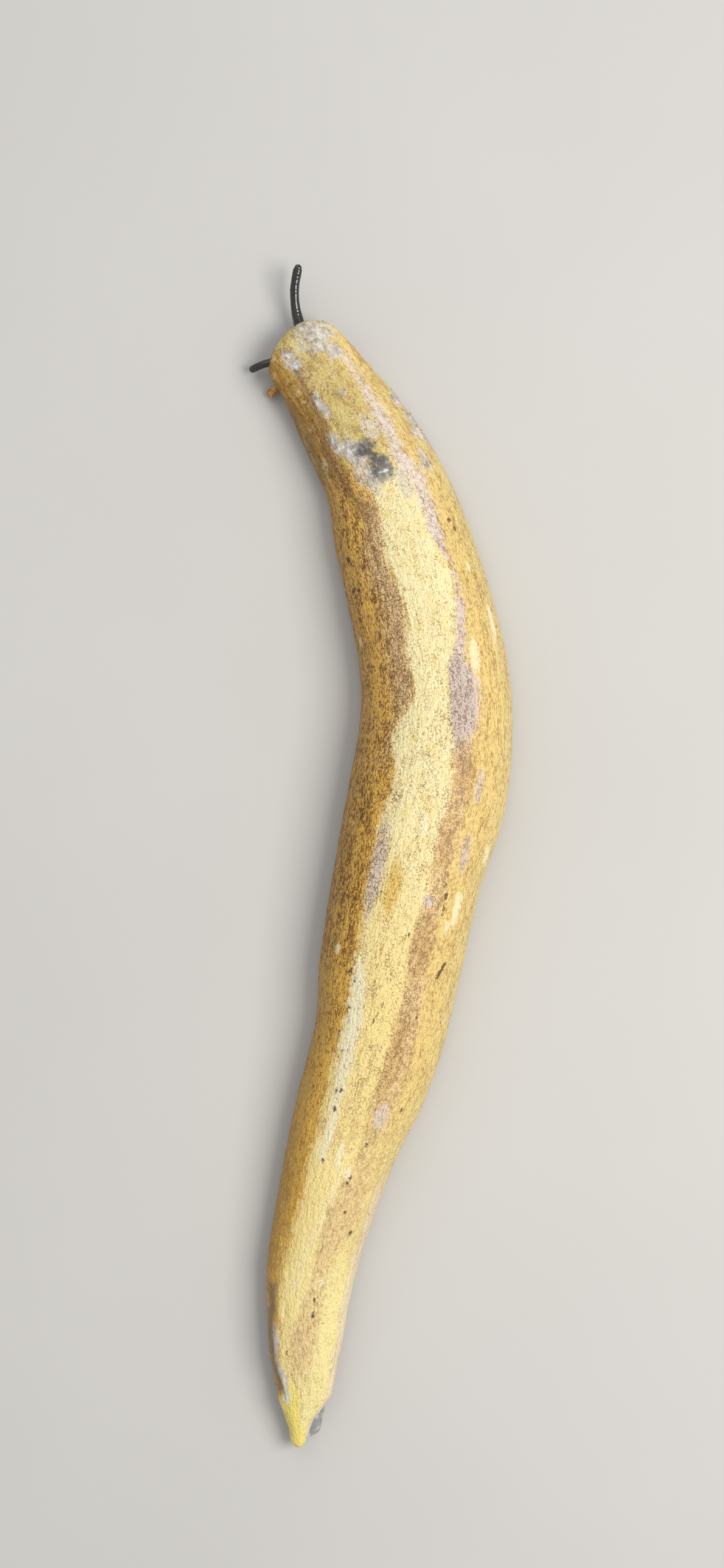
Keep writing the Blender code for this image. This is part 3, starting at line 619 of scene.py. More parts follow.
LOWER_RIGHT = {"root": (4.8, 1.4, 0.95), "length": 2.4, "radius": 0.5,
               "heading": ((0, 5), (2.4, -10)), "height": ((0, 0.95), (2.4, 0.8))}
UPPER_TAPER = ((0, 1.25), (0.3, 1.08), (0.6, 0.86), (0.9, 0.86), (1, 0.8))
LOWER_TAPER = ((0, 1.1), (0.4, 0.85), (0.8, 1.0), (1, 0.9))
EYE_RADIUS = 0.43
LOBE_BACK, LOBE_DROP, LOBE_RADII = 0.23, 0.22, (0.3, 0.3, 0.26)


def head_places(forward, right, height):
    """Places on the head, along its bending middle line from the neck, across it and up."""
    neck, _ = spine_frame(np.array([NECK_STATION]))
    path = follow_heading(neck[0], HEAD_HEADING, HEAD_LENGTH + 1)
    walked = np.linspace(0, HEAD_LENGTH + 1, len(path))
    forward, right = np.atleast_1d(forward).astype(float), np.atleast_1d(right).astype(float)
    angles = np.radians(smooth(HEAD_HEADING, forward))
    behind = np.minimum(forward, 0)
    x = np.interp(forward, walked, path[:, 0]) - behind * np.sin(angles) + right * np.cos(angles)
    y = np.interp(forward, walked, path[:, 1]) + behind * np.cos(angles) + right * np.sin(angles)
    return np.column_stack([x, y, np.broadcast_to(height, x.shape)])


def head_rings(rings=70, sides=56):
    """The head and neck as rings of points."""
    turn = np.linspace(-math.pi / 2, math.pi / 2, rings)
    middle, half = (HEAD_LENGTH - NECK_REACH) / 2, (HEAD_LENGTH + NECK_REACH) / 2
    angles = np.linspace(0, math.tau, sides + 1)
    points = []
    for forward in middle + half * np.sin(turn):
        end = round_end(HEAD_LENGTH - forward, HEAD_ROUNDING) * round_end(forward + NECK_REACH, HEAD_ROUNDING)
        wide, tall = smooth(HEAD_HALF_WIDTH, forward) * end, smooth(HEAD_HALF_HEIGHT, forward) * end
        height = smooth(HEAD_MIDDLE, forward) + tall * np.sin(angles)
        points.append(head_places(np.full(sides + 1, forward), wide * np.cos(angles), height))
    return np.array(points)


print("head rings:", head_rings().shape)

# %% [markdown]
# A feeler is a tube round a path that starts at its root on the head, turns by its heading and rises by its
# height. Each ring stands square to the path.


# %% Rings of a feeler
def feeler_path(feeler):
    """How far along a feeler its middle line's places are, a tenth of a millimetre apart, and the places."""
    root = head_places(*feeler["root"])[0]
    flat = follow_heading(root[:2], feeler["heading"], feeler["length"])
    along = np.linspace(0, feeler["length"], len(flat))
    return along, np.column_stack([flat, smooth(feeler["height"], along)])


def on_path(along, path, place):
    """The place at this distance along a path."""
    return np.array([np.interp(place, along, path[:, axis]) for axis in range(3)])


def feeler_rings(feeler, taper, end_rounding, length, sides=28, step=0.12):
    """Rings of points round a feeler, closed at both ends."""
    along, path = feeler_path(feeler)
    rounded = length - end_rounding * (1 - np.sin(np.linspace(0, math.pi / 2, 7)))
    places = np.concatenate([[0], np.arange(0, length - end_rounding, step), rounded])
    angles = np.linspace(0, math.tau, sides + 1)[:, None]
    points = []
    for i, place in enumerate(places):
        direction = on_path(along, path, place + SPINE_STEP) - on_path(along, path, place - SPINE_STEP)
        direction /= np.linalg.norm(direction)
        right = np.cross(direction, (0, 0, 1))
        right /= np.linalg.norm(right)
        up = np.cross(right, direction)
        radius = feeler["radius"] * smooth(taper, place / feeler["length"])
        radius *= 0 if i == 0 else round_end(length - place, end_rounding)
        points.append(on_path(along, path, place) + radius * (np.cos(angles) * right + np.sin(angles) * up))
    return np.array(points)


def end_of(feeler, back):
    """The place and the direction at this distance back from the end of a feeler."""
    along, path = feeler_path(feeler)
    here = on_path(along, path, feeler["length"] - back)
    direction = here - on_path(along, path, feeler["length"] - back - SPINE_STEP)
    return here, direction / np.linalg.norm(direction)


print("upper right feeler ends at mm:", end_of(UPPER_RIGHT, 0)[0].round(2))

# %% [markdown]
# The tubes, the lips and the lobes are laid into each other as closed shapes. The remesh keeps only the
# outside that they have in common, and a little smoothing takes its steps away.

# %% Fuse the head, the lips and the feelers into one skin
HEAD_VOXEL = 0.062
SMOOTH_ROUNDS = 2
HEAD_TURN = math.radians(HEAD_HEADING[-1][1])
UPPER_END_ROUNDING = 0.3
LOWER_END_ROUNDING = 0.4


def add_ball(bm, centre, radii, turn=0.0):
    """Adds a closed ball with three radii, in millimetres, turned about the vertical."""
    place = Matrix.Translation(Vector(centre) * MILLIMETRE) @ Matrix.Rotation(turn, 4, "Z")
    size = Matrix.Diagonal((*(radius * MILLIMETRE for radius in radii), 1))
    bmesh.ops.create_uvsphere(bm, u_segments=28, v_segments=18, radius=1, matrix=place @ size)


def add_tube(bm, points):
    """Adds a closed tube through rings of points."""
    tube, ring, column = closed_tube(points)
    weld(tube, ring, column, *points.shape[:2])
    mesh = finished_mesh(tube, "tube")
    bm.from_mesh(mesh)
    bpy.data.meshes.remove(mesh)


def fuse(bm, voxel):
    """Turns closed shapes that lie in each other into one closed skin."""
    shapes = place_in_scene("loose_shapes", finished_mesh(bm, "loose_shapes"))
    remesh = shapes.modifiers.new("fuse", "REMESH")
    remesh.mode = "VOXEL"
    remesh.voxel_size = voxel * MILLIMETRE
    fused = bmesh.new()
    fused.from_mesh(shapes.evaluated_get(bpy.context.evaluated_depsgraph_get()).to_mesh())
    bpy.data.objects.remove(shapes)
    every_axis = {"use_axis_x": True, "use_axis_y": True, "use_axis_z": True}
    for _ in range(SMOOTH_ROUNDS):
        bmesh.ops.smooth_vert(fused, verts=fused.verts[:], factor=0.5, **every_axis)
    return fused


bm = bmesh.new()
add_tube(bm, head_rings())
for forward, right, height, radii in LIPS:
    add_ball(bm, head_places(forward, right, height)[0], radii, HEAD_TURN)
for feeler in (UPPER_RIGHT, UPPER_LEFT):
    length = feeler["length"] - UPPER_END_ROUNDING
    add_tube(bm, feeler_rings(feeler, UPPER_TAPER, UPPER_END_ROUNDING, length))
for feeler in (LOWER_LEFT, LOWER_RIGHT):
    add_tube(bm, feeler_rings(feeler, LOWER_TAPER, LOWER_END_ROUNDING, feeler["length"]))
    lobe, _ = end_of(feeler, LOBE_BACK)
    add_ball(bm, lobe - np.array([0, 0, LOBE_DROP]), LOBE_RADII)
fused = fuse(bm, HEAD_VOXEL)
print("head and feelers fused:", len(fused.faces), "faces")

# %% [markdown]
# The fused skin is smooth like wax. Real feelers are ringed, the neck and the head are grained, and the
# mouth is a slit between the lips. These are pressed in by moving points along their normals.

# %% Press in the rings, the grains and the mouth
RING_STEP = 0.34
RING_DEPTH = 0.006
MOUTH_WIDTH = 0.13
MOUTH_HEIGHT = 0.5
MOUTH_DEPTH = 0.3


def nearest(points, feeler):
    """How far each point is from a feeler's middle line, and how far along it that is."""
    along, path = feeler_path(feeler)
    apart = np.linalg.norm(points[:, None, :] - path[None, ::2, :], axis=-1)
    return apart.min(axis=1), along[::2][apart.argmin(axis=1)]


def dress_head(fused):
    """Moves the points of the head's skin, and returns what each one belongs to."""
    fused.verts.ensure_lookup_table()
    fused.normal_update()
    points = np.array([vert.co for vert in fused.verts]) / MILLIMETRE
    normals = np.array([vert.normal for vert in fused.verts])
    marks = {"dark_feeler": np.zeros(len(points)), "amber_feeler": np.zeros(len(points))}
    moved = 0.025 * grain(points, (0.3, 0.3, 0.3), 5.3) + 0.04 * grain(points, (0.9, 0.9, 0.9), 17.1)
    for feeler, mark in ((UPPER_RIGHT, "dark_feeler"), (UPPER_LEFT, "dark_feeler"),
                         (LOWER_LEFT, "amber_feeler"), (LOWER_RIGHT, "amber_feeler")):
        apart, along = nearest(points, feeler)
        belongs = (1 - soft_step(1.25, 1.7, apart / feeler["radius"])) * soft_step(0.9, 1.9, along)
        marks[mark] = np.maximum(marks[mark], belongs)
        ringed = np.cos(math.tau * (along + 0.16 * grain(points, (0.8, 0.8, 0.8), 29.3)) / RING_STEP)
        depth = RING_DEPTH * (1 + grain(points, (0.5, 0.5, 0.5), 41.7))
        moved = moved * (1 - 0.6 * belongs) + depth * belongs * ringed
    away = points - head_places(*MOUTH)[0]
    aside = away[:, 0] * math.cos(HEAD_TURN) + away[:, 1] * math.sin(HEAD_TURN)
    ahead = away[:, 1] * math.cos(HEAD_TURN) - away[:, 0] * math.sin(HEAD_TURN)
    slit = np.exp(-(aside / MOUTH_WIDTH) ** 2) * np.exp(-(away[:, 2] / MOUTH_HEIGHT) ** 4)
    marks["mouth"] = slit * soft_step(-0.9, -0.2, ahead)
    moved -= MOUTH_DEPTH * marks["mouth"]
    places = (points + moved[:, None] * normals) * MILLIMETRE
    for vert, place in zip(fused.verts, places.tolist()):
        vert.co = place
    return marks


head_marks = dress_head(fused)
head_mesh = finished_mesh(fused, "head_skin")
for mark, values in head_marks.items():
    store(head_mesh, mark, values)
head_skin = piece("head_skin", head_mesh)
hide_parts("head", "tentacle_upper_right", "tentacle_upper_left",
            "tentacle_lower_right", "tentacle_lower_left")
print("head skin:", len(head_mesh.polygons), "faces")

# %% [markdown]
# ## The eyes
# Each eye is a tiny black ball in the end of an upper feeler. It stays a piece of its own, because it is
# glossier than the skin. Its back is sunk into the feeler, so only its dome shows.


# %% Set the eyes into the feelers
def make_eye(name, feeler, node):
    """A ball whose front touches the end of the feeler."""
    tip, direction = end_of(feeler, 0)
    turn = Vector(direction).to_track_quat("Z", "Y").to_matrix().to_4x4()
    place = Matrix.Translation(Vector(tip - direction * EYE_RADIUS) * MILLIMETRE) @ turn
    bm = bmesh.new()
    bmesh.ops.create_uvsphere(bm, u_segments=32, v_segments=24, radius=EYE_RADIUS * MILLIMETRE, matrix=place)
    eye = piece(name, finished_mesh(bm, name))
    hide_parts(node)
    return eye


eye_right = make_eye("eye_ball_right", UPPER_RIGHT, "eye_right")
eye_left = make_eye("eye_ball_left", UPPER_LEFT, "eye_left")
print("eyes:", eye_right.name, eye_left.name)

# %% [markdown]
# ## A way to write finishes
# Shader nodes are easiest to read as a recipe: this noise, cut at this height, laid over that colour. The
# class Finish below writes the nodes of one material, one step for each call. Each step gives back a Wire,
# which is what its node puts out, and sums, differences and products of wires write nodes of their own.
# Colours are given as they look in daylight, from 0 to 255, and turned into the linear values that Blender
# works with.

# %% A recipe writer for shader nodes
ALBEDO = 0.86


def tone(red, green, blue):
    """A colour as seen, made linear, and a little darker because the light on it is bright."""
    linear = [((c / 255 + 0.055) / 1.055) ** 2.4 if c > 10 else c / 255 / 12.92 for c in (red, green, blue)]
    return (*(ALBEDO * c for c in linear), 1)


class Wire:
    """What one node gives out. Arithmetic on wires writes more nodes."""

    def __init__(self, finish, socket):
        self.finish, self.socket = finish, socket

    def maths(self, operation, a, b):
        """Writes a node of arithmetic."""
        return self.finish.write("ShaderNodeMath", 0, {0: a, 1: b}, operation=operation)

    def __add__(self, other):
        return self.maths("ADD", self, other)

    def __sub__(self, other):
        return self.maths("SUBTRACT", self, other)

    def __rsub__(self, other):
        return self.maths("SUBTRACT", other, self)

    def __mul__(self, other):
        return self.maths("MULTIPLY", self, other)

    def either(self, other):
        """The larger of two numbers, so that it is on where either is."""
        return self.maths("MAXIMUM", self, other)

    def step(self, low, high):
        """Rises smoothly from 0 at low to 1 at high."""
        inputs = {"Value": self, "From Min": low, "From Max": high}
        return self.finish.write("ShaderNodeMapRange", "Result", inputs, interpolation_type="SMOOTHSTEP")


class Finish:
    """Writes the nodes of one material."""

    def __init__(self, name):
        self.material = bpy.data.materials.new(name)
        self.material.use_nodes = True
        self.tree = self.material.node_tree
        self.shader = self.tree.nodes["Principled BSDF"]

    def write(self, kind, output, inputs, **settings):
        """Adds a node, sets it up, connects or fills its inputs, and returns one of its outputs."""
        node = self.tree.nodes.new(kind)
        for setting, value in settings.items():
            setattr(node, setting, value)
        for socket, value in inputs.items():
            self.connect(value, node.inputs[socket])
        return Wire(self, node.outputs[output])

    def connect(self, value, socket):
        """Links a wire to a socket, or types a plain value into it."""
        if isinstance(value, Wire):
            self.tree.links.new(value.socket, socket)
        else:
            socket.default_value = value

    def mark(self, name, output="Fac"):
        """A number, or as Vector a place, that is stored at the points of the mesh."""
        return self.write("ShaderNodeAttribute", output, {}, attribute_name=name)

    def object_place(self):
        """The place in the object, in millimetres."""
        return self.stretched(self.write("ShaderNodeTexCoord", "Object", {}), (1 / MILLIMETRE,) * 3)

    def stretched(self, vector, scale):
        """A place with each axis multiplied."""
        return self.write("ShaderNodeVectorMath", "Vector", {0: vector, 1: scale}, operation="MULTIPLY")

    def grain(self, vector, scale, detail=2.0, rough=0.5, stretch=None):
        """Noise around a half. Stretch multiplies the axes of the place that it is read at."""
        place = self.stretched(vector, stretch) if stretch else vector
        inputs = {"Vector": place, "Scale": scale, "Detail": detail, "Roughness": rough}
        return self.write("ShaderNodeTexNoise", "Fac", inputs)

    def cells(self, vector, scale):
        """The distance to the nearest of many scattered points, and that point's random colour."""
        distance = self.write("ShaderNodeTexVoronoi", "Distance", {"Vector": vector, "Scale": scale})
        return distance, Wire(self, distance.socket.node.outputs["Color"])

    def lay(self, under, over, share):
        """Lays one colour over another."""
        return self.write("ShaderNodeMix", 2, {0: share, 6: under, 7: over}, data_type="RGBA")

    def between(self, low, high, share):
        """A number between two numbers."""
        return self.write("ShaderNodeMix", 0, {0: share, 2: low, 3: high}, data_type="FLOAT")

    def bump(self, height, millimetres):
        """Shades small unevenness of the surface."""
        inputs = {"Height": height, "Distance": millimetres * MILLIMETRE, "Strength": 1.0}
        self.set(Normal=self.write("ShaderNodeBump", "Normal", inputs))

    def set(self, **values):
        """Types values into the shader's own sockets, or links varying ones to them."""
        for socket, value in values.items():
            self.connect(value, self.shader.inputs[socket.replace("_", " ")])


print("cream as a linear colour:", [round(c, 3) for c in tone(250, 234, 176)])

# %% [markdown]
# ## The skin's colours
# Look closely at a leatherleaf slug, and its colours come apart into two layers: a pale ground, and dark
# grains of pigment strewn over it. Where the grains are thin the back looks cream, and where they crowd
# together it looks brown. The finish below works the same way. Each coat lays its own ground colour and
# says how dense the grains lie on it. The grains themselves are strewn at the end, over all coats at once.

# %% Ground colours and pigment of the body
CREAM = tone(255, 241, 184)
GOLD_LEFT = tone(252, 198, 90)
GOLD_RIGHT = tone(246, 216, 134)
PALE_YELLOW = tone(248, 226, 152)
BROWN_GROUND = tone(234, 202, 148)
DUSK_GROUND = tone(240, 190, 80)
LILAC_GROUND = tone(228, 212, 202)
STRIP_GREY = tone(240, 228, 220)
PLUM_GROUND = tone(210, 188, 174)
RUST_GROUND = tone(222, 178, 106)
STREAK_BROWN = tone(196, 146, 80)
YELLOWED = tone(250, 226, 146)
REAR_CREAM = tone(255, 231, 155)
CORE_CREAM = tone(255, 237, 176)
TAIL_YELLOW = tone(255, 240, 168)
EDGE_PINK = tone(242, 222, 196)
TAN_GROUND = tone(244, 212, 152)
HOOD_YELLOW = tone(222, 200, 124)
HOOD_PALE = tone(236, 222, 176)
HOOD_GOLD = tone(184, 142, 56)
HOOD_BROWN = tone(150, 112, 66)
SLIME_GREY = tone(199, 192, 184)
SLIME_WHITE = tone(238, 234, 231)
GREYED_SKIN = tone(232, 222, 200)
MUD_GREY = tone(134, 132, 132)
MUD_DARK = tone(84, 82, 82)
GROOVE_SHADE_BROWN = tone(142, 122, 92)
LEMON = tone(255, 233, 126)
MUSTARD_YELLOW = tone(240, 202, 96)
WHITE = tone(255, 244, 204)
SOLE_GREY = tone(196, 184, 158)
FOOT_GREY = tone(150, 150, 150)
FOOT_PALE = tone(212, 208, 202)
PIGMENT_LIGHT = tone(184, 140, 78)
PIGMENT_GOLD_AND_SHADE = tone(122, 74, 16)
PIGMENT_BROWN = tone(122, 84, 46)
PIGMENT_LILAC = tone(106, 82, 72)
DOT_BROWN = tone(96, 68, 36)
SOIL = tone(46, 34, 20)


class SkinFinish(Finish):
    """The body's finish, with what most of its steps read, and the ground and grains painted so far."""

    def __init__(self, name):
        super().__init__(name)
        self.place = self.mark("unbent", "Vector")
        self.side = self.mark("side")
        self.along = self.write("ShaderNodeSeparateXYZ", "Y", {"Vector": self.place})
        self.wander = (self.grain(self.place, 1.3, 4, 0.68) - 0.5) * 2.2
        self.streaks = self.grain(self.place, 1, 3, 0.6, (1.9, 0.13, 1.9))
        self.crumbs = self.grain(self.place, 1.8, 4, 0.6, (1, 0.7, 1))
        right = self.side.step(-0.15, 0.35)
        # The left flank's ground is a deeper gold than the right's: partly its own colour, partly painted
        # shade, as the light falls from the right.
        self.ground = self.lay(GOLD_LEFT, GOLD_RIGHT, right)
        self.dense = self.between(0.45, 0.38, right)

    def frayed(self, name, low, high, wander=None):
        """A mark whose edge wanders in and out with a noise."""
        return (self.mark(name) + (wander or self.wander)).step(low, high)

    def coat(self, colour, share, grains=None, cover=1.0):
        """Lays a colour over the ground, and brings the density of the grains to the coat's own."""
        self.ground = self.lay(self.ground, colour, share * cover if cover < 1 else share)
        if grains is not None:
            self.dense = self.between(self.dense, grains, share)

    def report(self, step):
        """Prints how many nodes the finish has so far."""
        print(step, "nodes:", len(self.tree.nodes))


skin = SkinFinish("body_skin")
skin.report("start")

# %% [markdown]
# The bands come first, from the flanks inwards: dusk and brown on the left, lilac on the right, and the
# cream one over them. Behind 96 mm the cream breaks up into a pale stripe and a tan one.


# %% Paint the bands
def paint_bands(skin):
    """The flanks with a painted highlight along the right edge, and the bands of the front and the middle."""
    # A pale strip along the right edge is a painted highlight, the rim light on the wet edge of the mantle.
    skin.coat(PALE_YELLOW, skin.side.step(0.7, 0.98) * 0.7)
    crowded = skin.along.step(80, 73).either(skin.along.step(92, 100))
    skin.coat(DUSK_GROUND, skin.frayed("dusk", -0.6, 1.2) * 0.85, skin.between(0.36, 0.55, crowded))
    skin.coat(BROWN_GROUND, skin.frayed("brown", -1.5, 0.9), 0.58)
    front = 1 - skin.along.step(47, 54)
    lilac = skin.frayed("lilac", -0.4, 0.5)
    skin.coat(skin.lay(TAN_GROUND, LILAC_GROUND, front), lilac, skin.between(0.5, 0.42, front))
    skin.coat(PLUM_GROUND, skin.frayed("plum", -0.6, 1) * 0.8, 0.5)
    skin.coat(RUST_GROUND, skin.frayed("rust", -0.6, 1) * 0.65, 0.54)

    skin.coat(PALE_YELLOW, skin.along.step(84, 100) * skin.side.step(-0.5, 0.1))
    cream = skin.lay(CREAM, REAR_CREAM, skin.along.step(50, 82))
    cream = skin.lay(cream, YELLOWED, skin.grain(skin.place, 0.8, 3, 0.6, (1, 0.5, 1)).step(0.48, 0.66) * 0.6)
    skin.coat(cream, skin.frayed("cream", -0.45, 0.35, skin.wander * 0.6))
    dusting = skin.grain(skin.place, 0.42, 3, 0.6, (1, 0.45, 1)).step(0.4, 0.66)
    cream_grains = dusting * skin.along.step(34, 66) * 0.19 + 0.2
    skin.dense = skin.between(skin.dense, cream_grains, skin.frayed("cream", -0.7, 0.9))


def paint_rear(skin):
    """The streaks and stripes of the last third."""
    skin.coat(STREAK_BROWN, skin.streaks.step(0.5, 0.38) * skin.along.step(84, 100) * 0.4)
    skin.coat(TAIL_YELLOW, skin.along.step(104, 112) * skin.side.step(-0.85, -0.5), 0.26, 0.8)
    skin.coat(EDGE_PINK, skin.side.step(0.72, 0.9) * skin.along.step(96, 101) * 0.7)
    unbroken = skin.between(1, 0.35, skin.streaks.step(0.5, 0.62))
    skin.coat(TAN_GROUND, skin.frayed("tan", -0.5, 0.5) * 0.9 * unbroken, 0.48)
    skin.coat(REAR_CREAM, skin.frayed("rear", -0.5, 0.5) * 0.95, 0.1)
    skin.coat(CORE_CREAM, skin.frayed("core", -0.5, 0.5) * 0.7, 0.16)


paint_bands(skin)
paint_rear(skin)
skin.report("bands")

# %% [markdown]
# The patches lie over the bands: the golden hood with its grey strip, a mustard and a lilac patch, pale
# dabs, the first of them a painted highlight, and the lemon tip of the tail. Each is a coat like the bands.

# %% Paint the patches
# Each coat's mark, colour and cover, the density of its grains, and where its frayed edge begins and ends.
PATCH_COATS = (("strip", STRIP_GREY, 0.85, 0.34, -0.5, 0.6),
               ("lilac_patch", LILAC_GROUND, 0.8, 0.42, -0.3, 0.8),
               ("white", WHITE, 0.95, 0.14, -0.5, 0.3),
               ("mustard", MUSTARD_YELLOW, 0.85, 0.34, -0.1, 0.8),
               ("pale", WHITE, 0.75, 0.14, -0.1, 0.8),
               ("lemon", LEMON, 1, 0.1, -0.1, 0.5))


def paint_patches(skin):
    """Lays the hood and the patches over the bands."""
    hood = skin.lay(HOOD_GOLD, HOOD_YELLOW, (skin.side + skin.wander * 0.3).step(-0.66, -0.4))
    hood = skin.lay(hood, GOLD_RIGHT, skin.side.step(0.25, 0.7))
    mottle = skin.grain(skin.place, 0.9, 4, 0.65, (1, 0.6, 1))
    hood = skin.lay(hood, HOOD_PALE, mottle.step(0.52, 0.66) * 0.6)
    hood = skin.lay(hood, HOOD_BROWN, mottle.step(0.48, 0.34) * 0.5)
    skin.coat(hood, 1 - (skin.along + skin.wander * 6).step(15, 20), 0.33)
    skin.coat(HOOD_BROWN, skin.frayed("streak", -0.5, 0.4) * 0.75, 0.5)
    skin.coat(GREYED_SKIN, skin.frayed("greyed", -0.1, 0.7) * 0.8)
    for name, colour, cover, grains, low, high in PATCH_COATS:
        skin.coat(colour, skin.frayed(name, low, high), grains, cover)


paint_patches(skin)
skin.report("patches")

# %% [markdown]
# Pigment is a noise cut at a height: the denser the grains have to lie, the lower the cut. On the flanks
# the noise is stretched along the body, so that the grains run together into short lines.


# %% Strew the pigment
def strew_pigment(skin):
    """The colour of the ground with dark grains over it, as dense as the coats ask for."""
    fine = skin.grain(skin.place, 6.4, 3, 0.66, (1, 0.75, 1))
    lengthwise = skin.grain(skin.place, 1, 3, 0.66, (6.6, 2, 6.6))
    clumps = skin.grain(skin.place, 1.3, 3, 0.6, (1, 0.5, 1))
    leather, _ = skin.cells(skin.stretched(skin.place, (1, 0.6, 1)), 2.8)
    left, right = skin.side.step(-0.35, -0.75), skin.side.step(0.2, 0.65)
    flank = left.either(right).either(skin.mark("tan").step(-0.3, 0.3))
    pattern = skin.between(fine, lengthwise, flank * 0.6)
    for uneven, level, share in ((skin.streaks, 0.5, 0.24), (clumps, 0.5, 0.26), (leather, 0.42, 0.13)):
        pattern = pattern + (uneven - level) * share
    over = pattern - (0.66 - skin.dense * 0.32)

    strength = skin.between(skin.between(0.78, 1, left), 0.86, right)
    strength = skin.between(strength, 0.46, skin.along.step(80, 104))
    grains = skin.lay(PIGMENT_LIGHT, PIGMENT_BROWN, (skin.dense + (clumps - 0.5)).step(0.15, 0.6))
    grains = skin.lay(grains, PIGMENT_GOLD_AND_SHADE, skin.side.step(-0.3, -0.62))
    grains = skin.lay(grains, PIGMENT_LIGHT, right * 0.7)
    grains = skin.lay(grains, PIGMENT_LILAC, skin.mark("plum").step(-0.3, 0.5) * 0.8)
    colour = skin.lay(skin.ground, PIGMENT_LIGHT, over.step(-0.15, 0.04) * (strength * 0.24))
    colour = skin.lay(colour, grains, over.step(-0.06, 0.12) * strength)

    apart, cell = skin.cells(skin.place, 1.1)
    chosen = skin.write("ShaderNodeSeparateColor", "Red", {"Color": cell}).step(0.72, 0.8)
    return skin.lay(colour, DOT_BROWN, apart.step(0.15, 0.07) * chosen * 0.55)


colour = strew_pigment(skin)
skin.report("pigment")

# %% [markdown]
# What sticks to the slug covers its pigment: dried slime and mud on the front, and specks of soil along the
# back. The groove on the left of the tail has a pale bank, and its floor is painted grey-brown as shade.
# Painted shade also darkens the left edge of the mantle, and the sole and the tip of the foot are grey. Dried
# slime and mud are dull, and the rest of the skin is moist and shines a little.

# %% Lay slime, mud, soil and painted shade over it, and set the gloss
SKIN_BUMP = 0.09


def cover_skin(skin, colour):
    """Covers the pigment where something sticks to it, paints shade into the groove and along the left edge,
    and sets the shader's other values.
    """
    ragged = (skin.grain(skin.place, 1.2, 4, 0.64) - 0.5) * 4.2
    crumbs = skin.crumbs
    slime = skin.frayed("slime", -0.45, 1, ragged) * 0.85
    slime_tone = skin.lay(SLIME_GREY, SLIME_WHITE, crumbs.step(0.5, 0.62))
    colour = skin.lay(colour, skin.lay(slime_tone, MUD_GREY, crumbs.step(0.47, 0.34)), slime)
    mud = skin.frayed("mud", -0.25, 0.7, ragged * 0.6) * 0.92
    mud_tone = skin.lay(MUD_DARK, MUD_GREY, crumbs.step(0.44, 0.62))
    colour = skin.lay(colour, skin.lay(mud_tone, SLIME_WHITE, crumbs.step(0.6, 0.72)), mud)
    bank_tone = skin.lay(SLIME_GREY, SLIME_WHITE, crumbs.step(0.4, 0.62))
    colour = skin.lay(colour, bank_tone, skin.frayed("bank", -0.4, 0.3) * 0.85)
    # The groove's floor is painted shade, grey-brown with grey where the crumbs lie.
    groove_shade_tone = skin.lay(GROOVE_SHADE_BROWN, MUD_GREY, crumbs.step(0.45, 0.7))
    colour = skin.lay(colour, groove_shade_tone, skin.frayed("groove", -0.3, 0.3, skin.wander * 0.4) * 0.85)
    # Painted shade: the left edge of the mantle is darkened with deep gold, fading out between 108 and 116
    # mm.
    colour = skin.lay(colour, PIGMENT_GOLD_AND_SHADE, skin.side.step(-0.7, -1) * skin.along.step(116, 108) * 0.3)
    under = skin.mark("under")
    tip_tone = skin.lay(FOOT_GREY, FOOT_PALE, crumbs.step(0.46, 0.68))
    colour = skin.lay(colour, skin.lay(SOLE_GREY, tip_tone, skin.along.step(120, 126)), under)
    jagged = (skin.grain(skin.place, 3.2, 3, 0.7) - 0.5) * 0.5
    colour = skin.lay(colour, SOIL, skin.frayed("speck", -0.08, 0.06, jagged) * 0.85)

    rough = skin.between(0.36, 0.56, skin.grain(skin.place, 0.5, 3, 0.6).step(0.35, 0.65))
    rough = skin.between(rough, 0.75, slime.either(mud))
    leather, _ = skin.cells(skin.stretched(skin.place, (1, 0.6, 1)), 3.4)
    wrinkles = skin.grain(skin.place, 1, 4, 0.62, (3, 0.5, 3))
    height = leather * -0.9 + wrinkles * 2 + skin.grain(skin.place, 6, 2, 0.6)
    skin.bump(height * skin.between(1, 0.4, under), SKIN_BUMP)
    skin.set(Base_Color=colour, Roughness=rough, Coat_Weight=0.12, Coat_Roughness=0.18,
             Specular_IOR_Level=0.35)


cover_skin(skin, colour)
body_mesh.materials.append(skin.material)
skin.report("whole finish")

# %% [markdown]
# ## Head, feelers and eyes
# The head's skin is grey-brown and grained. The long feelers are almost black and wet, so their gloss does
# more than their colour. The short ones let some light through, and look amber.

# %% Finish the head and the eyes
HEAD_BROWN = tone(150, 122, 84)
HEAD_TAN = tone(196, 168, 118)
HEAD_GRAIN = tone(92, 70, 48)
FEELER_BLACK = tone(36, 33, 32)
FEELER_GREY = tone(60, 54, 50)
AMBER_DEEP = tone(158, 102, 38)
AMBER_LIGHT = tone(214, 158, 70)
MOUTH_DARK = tone(58, 34, 26)
EYE_BLACK = tone(22, 18, 16)
EYE_RIM = tone(58, 42, 30)
HEAD_BUMP = 0.05


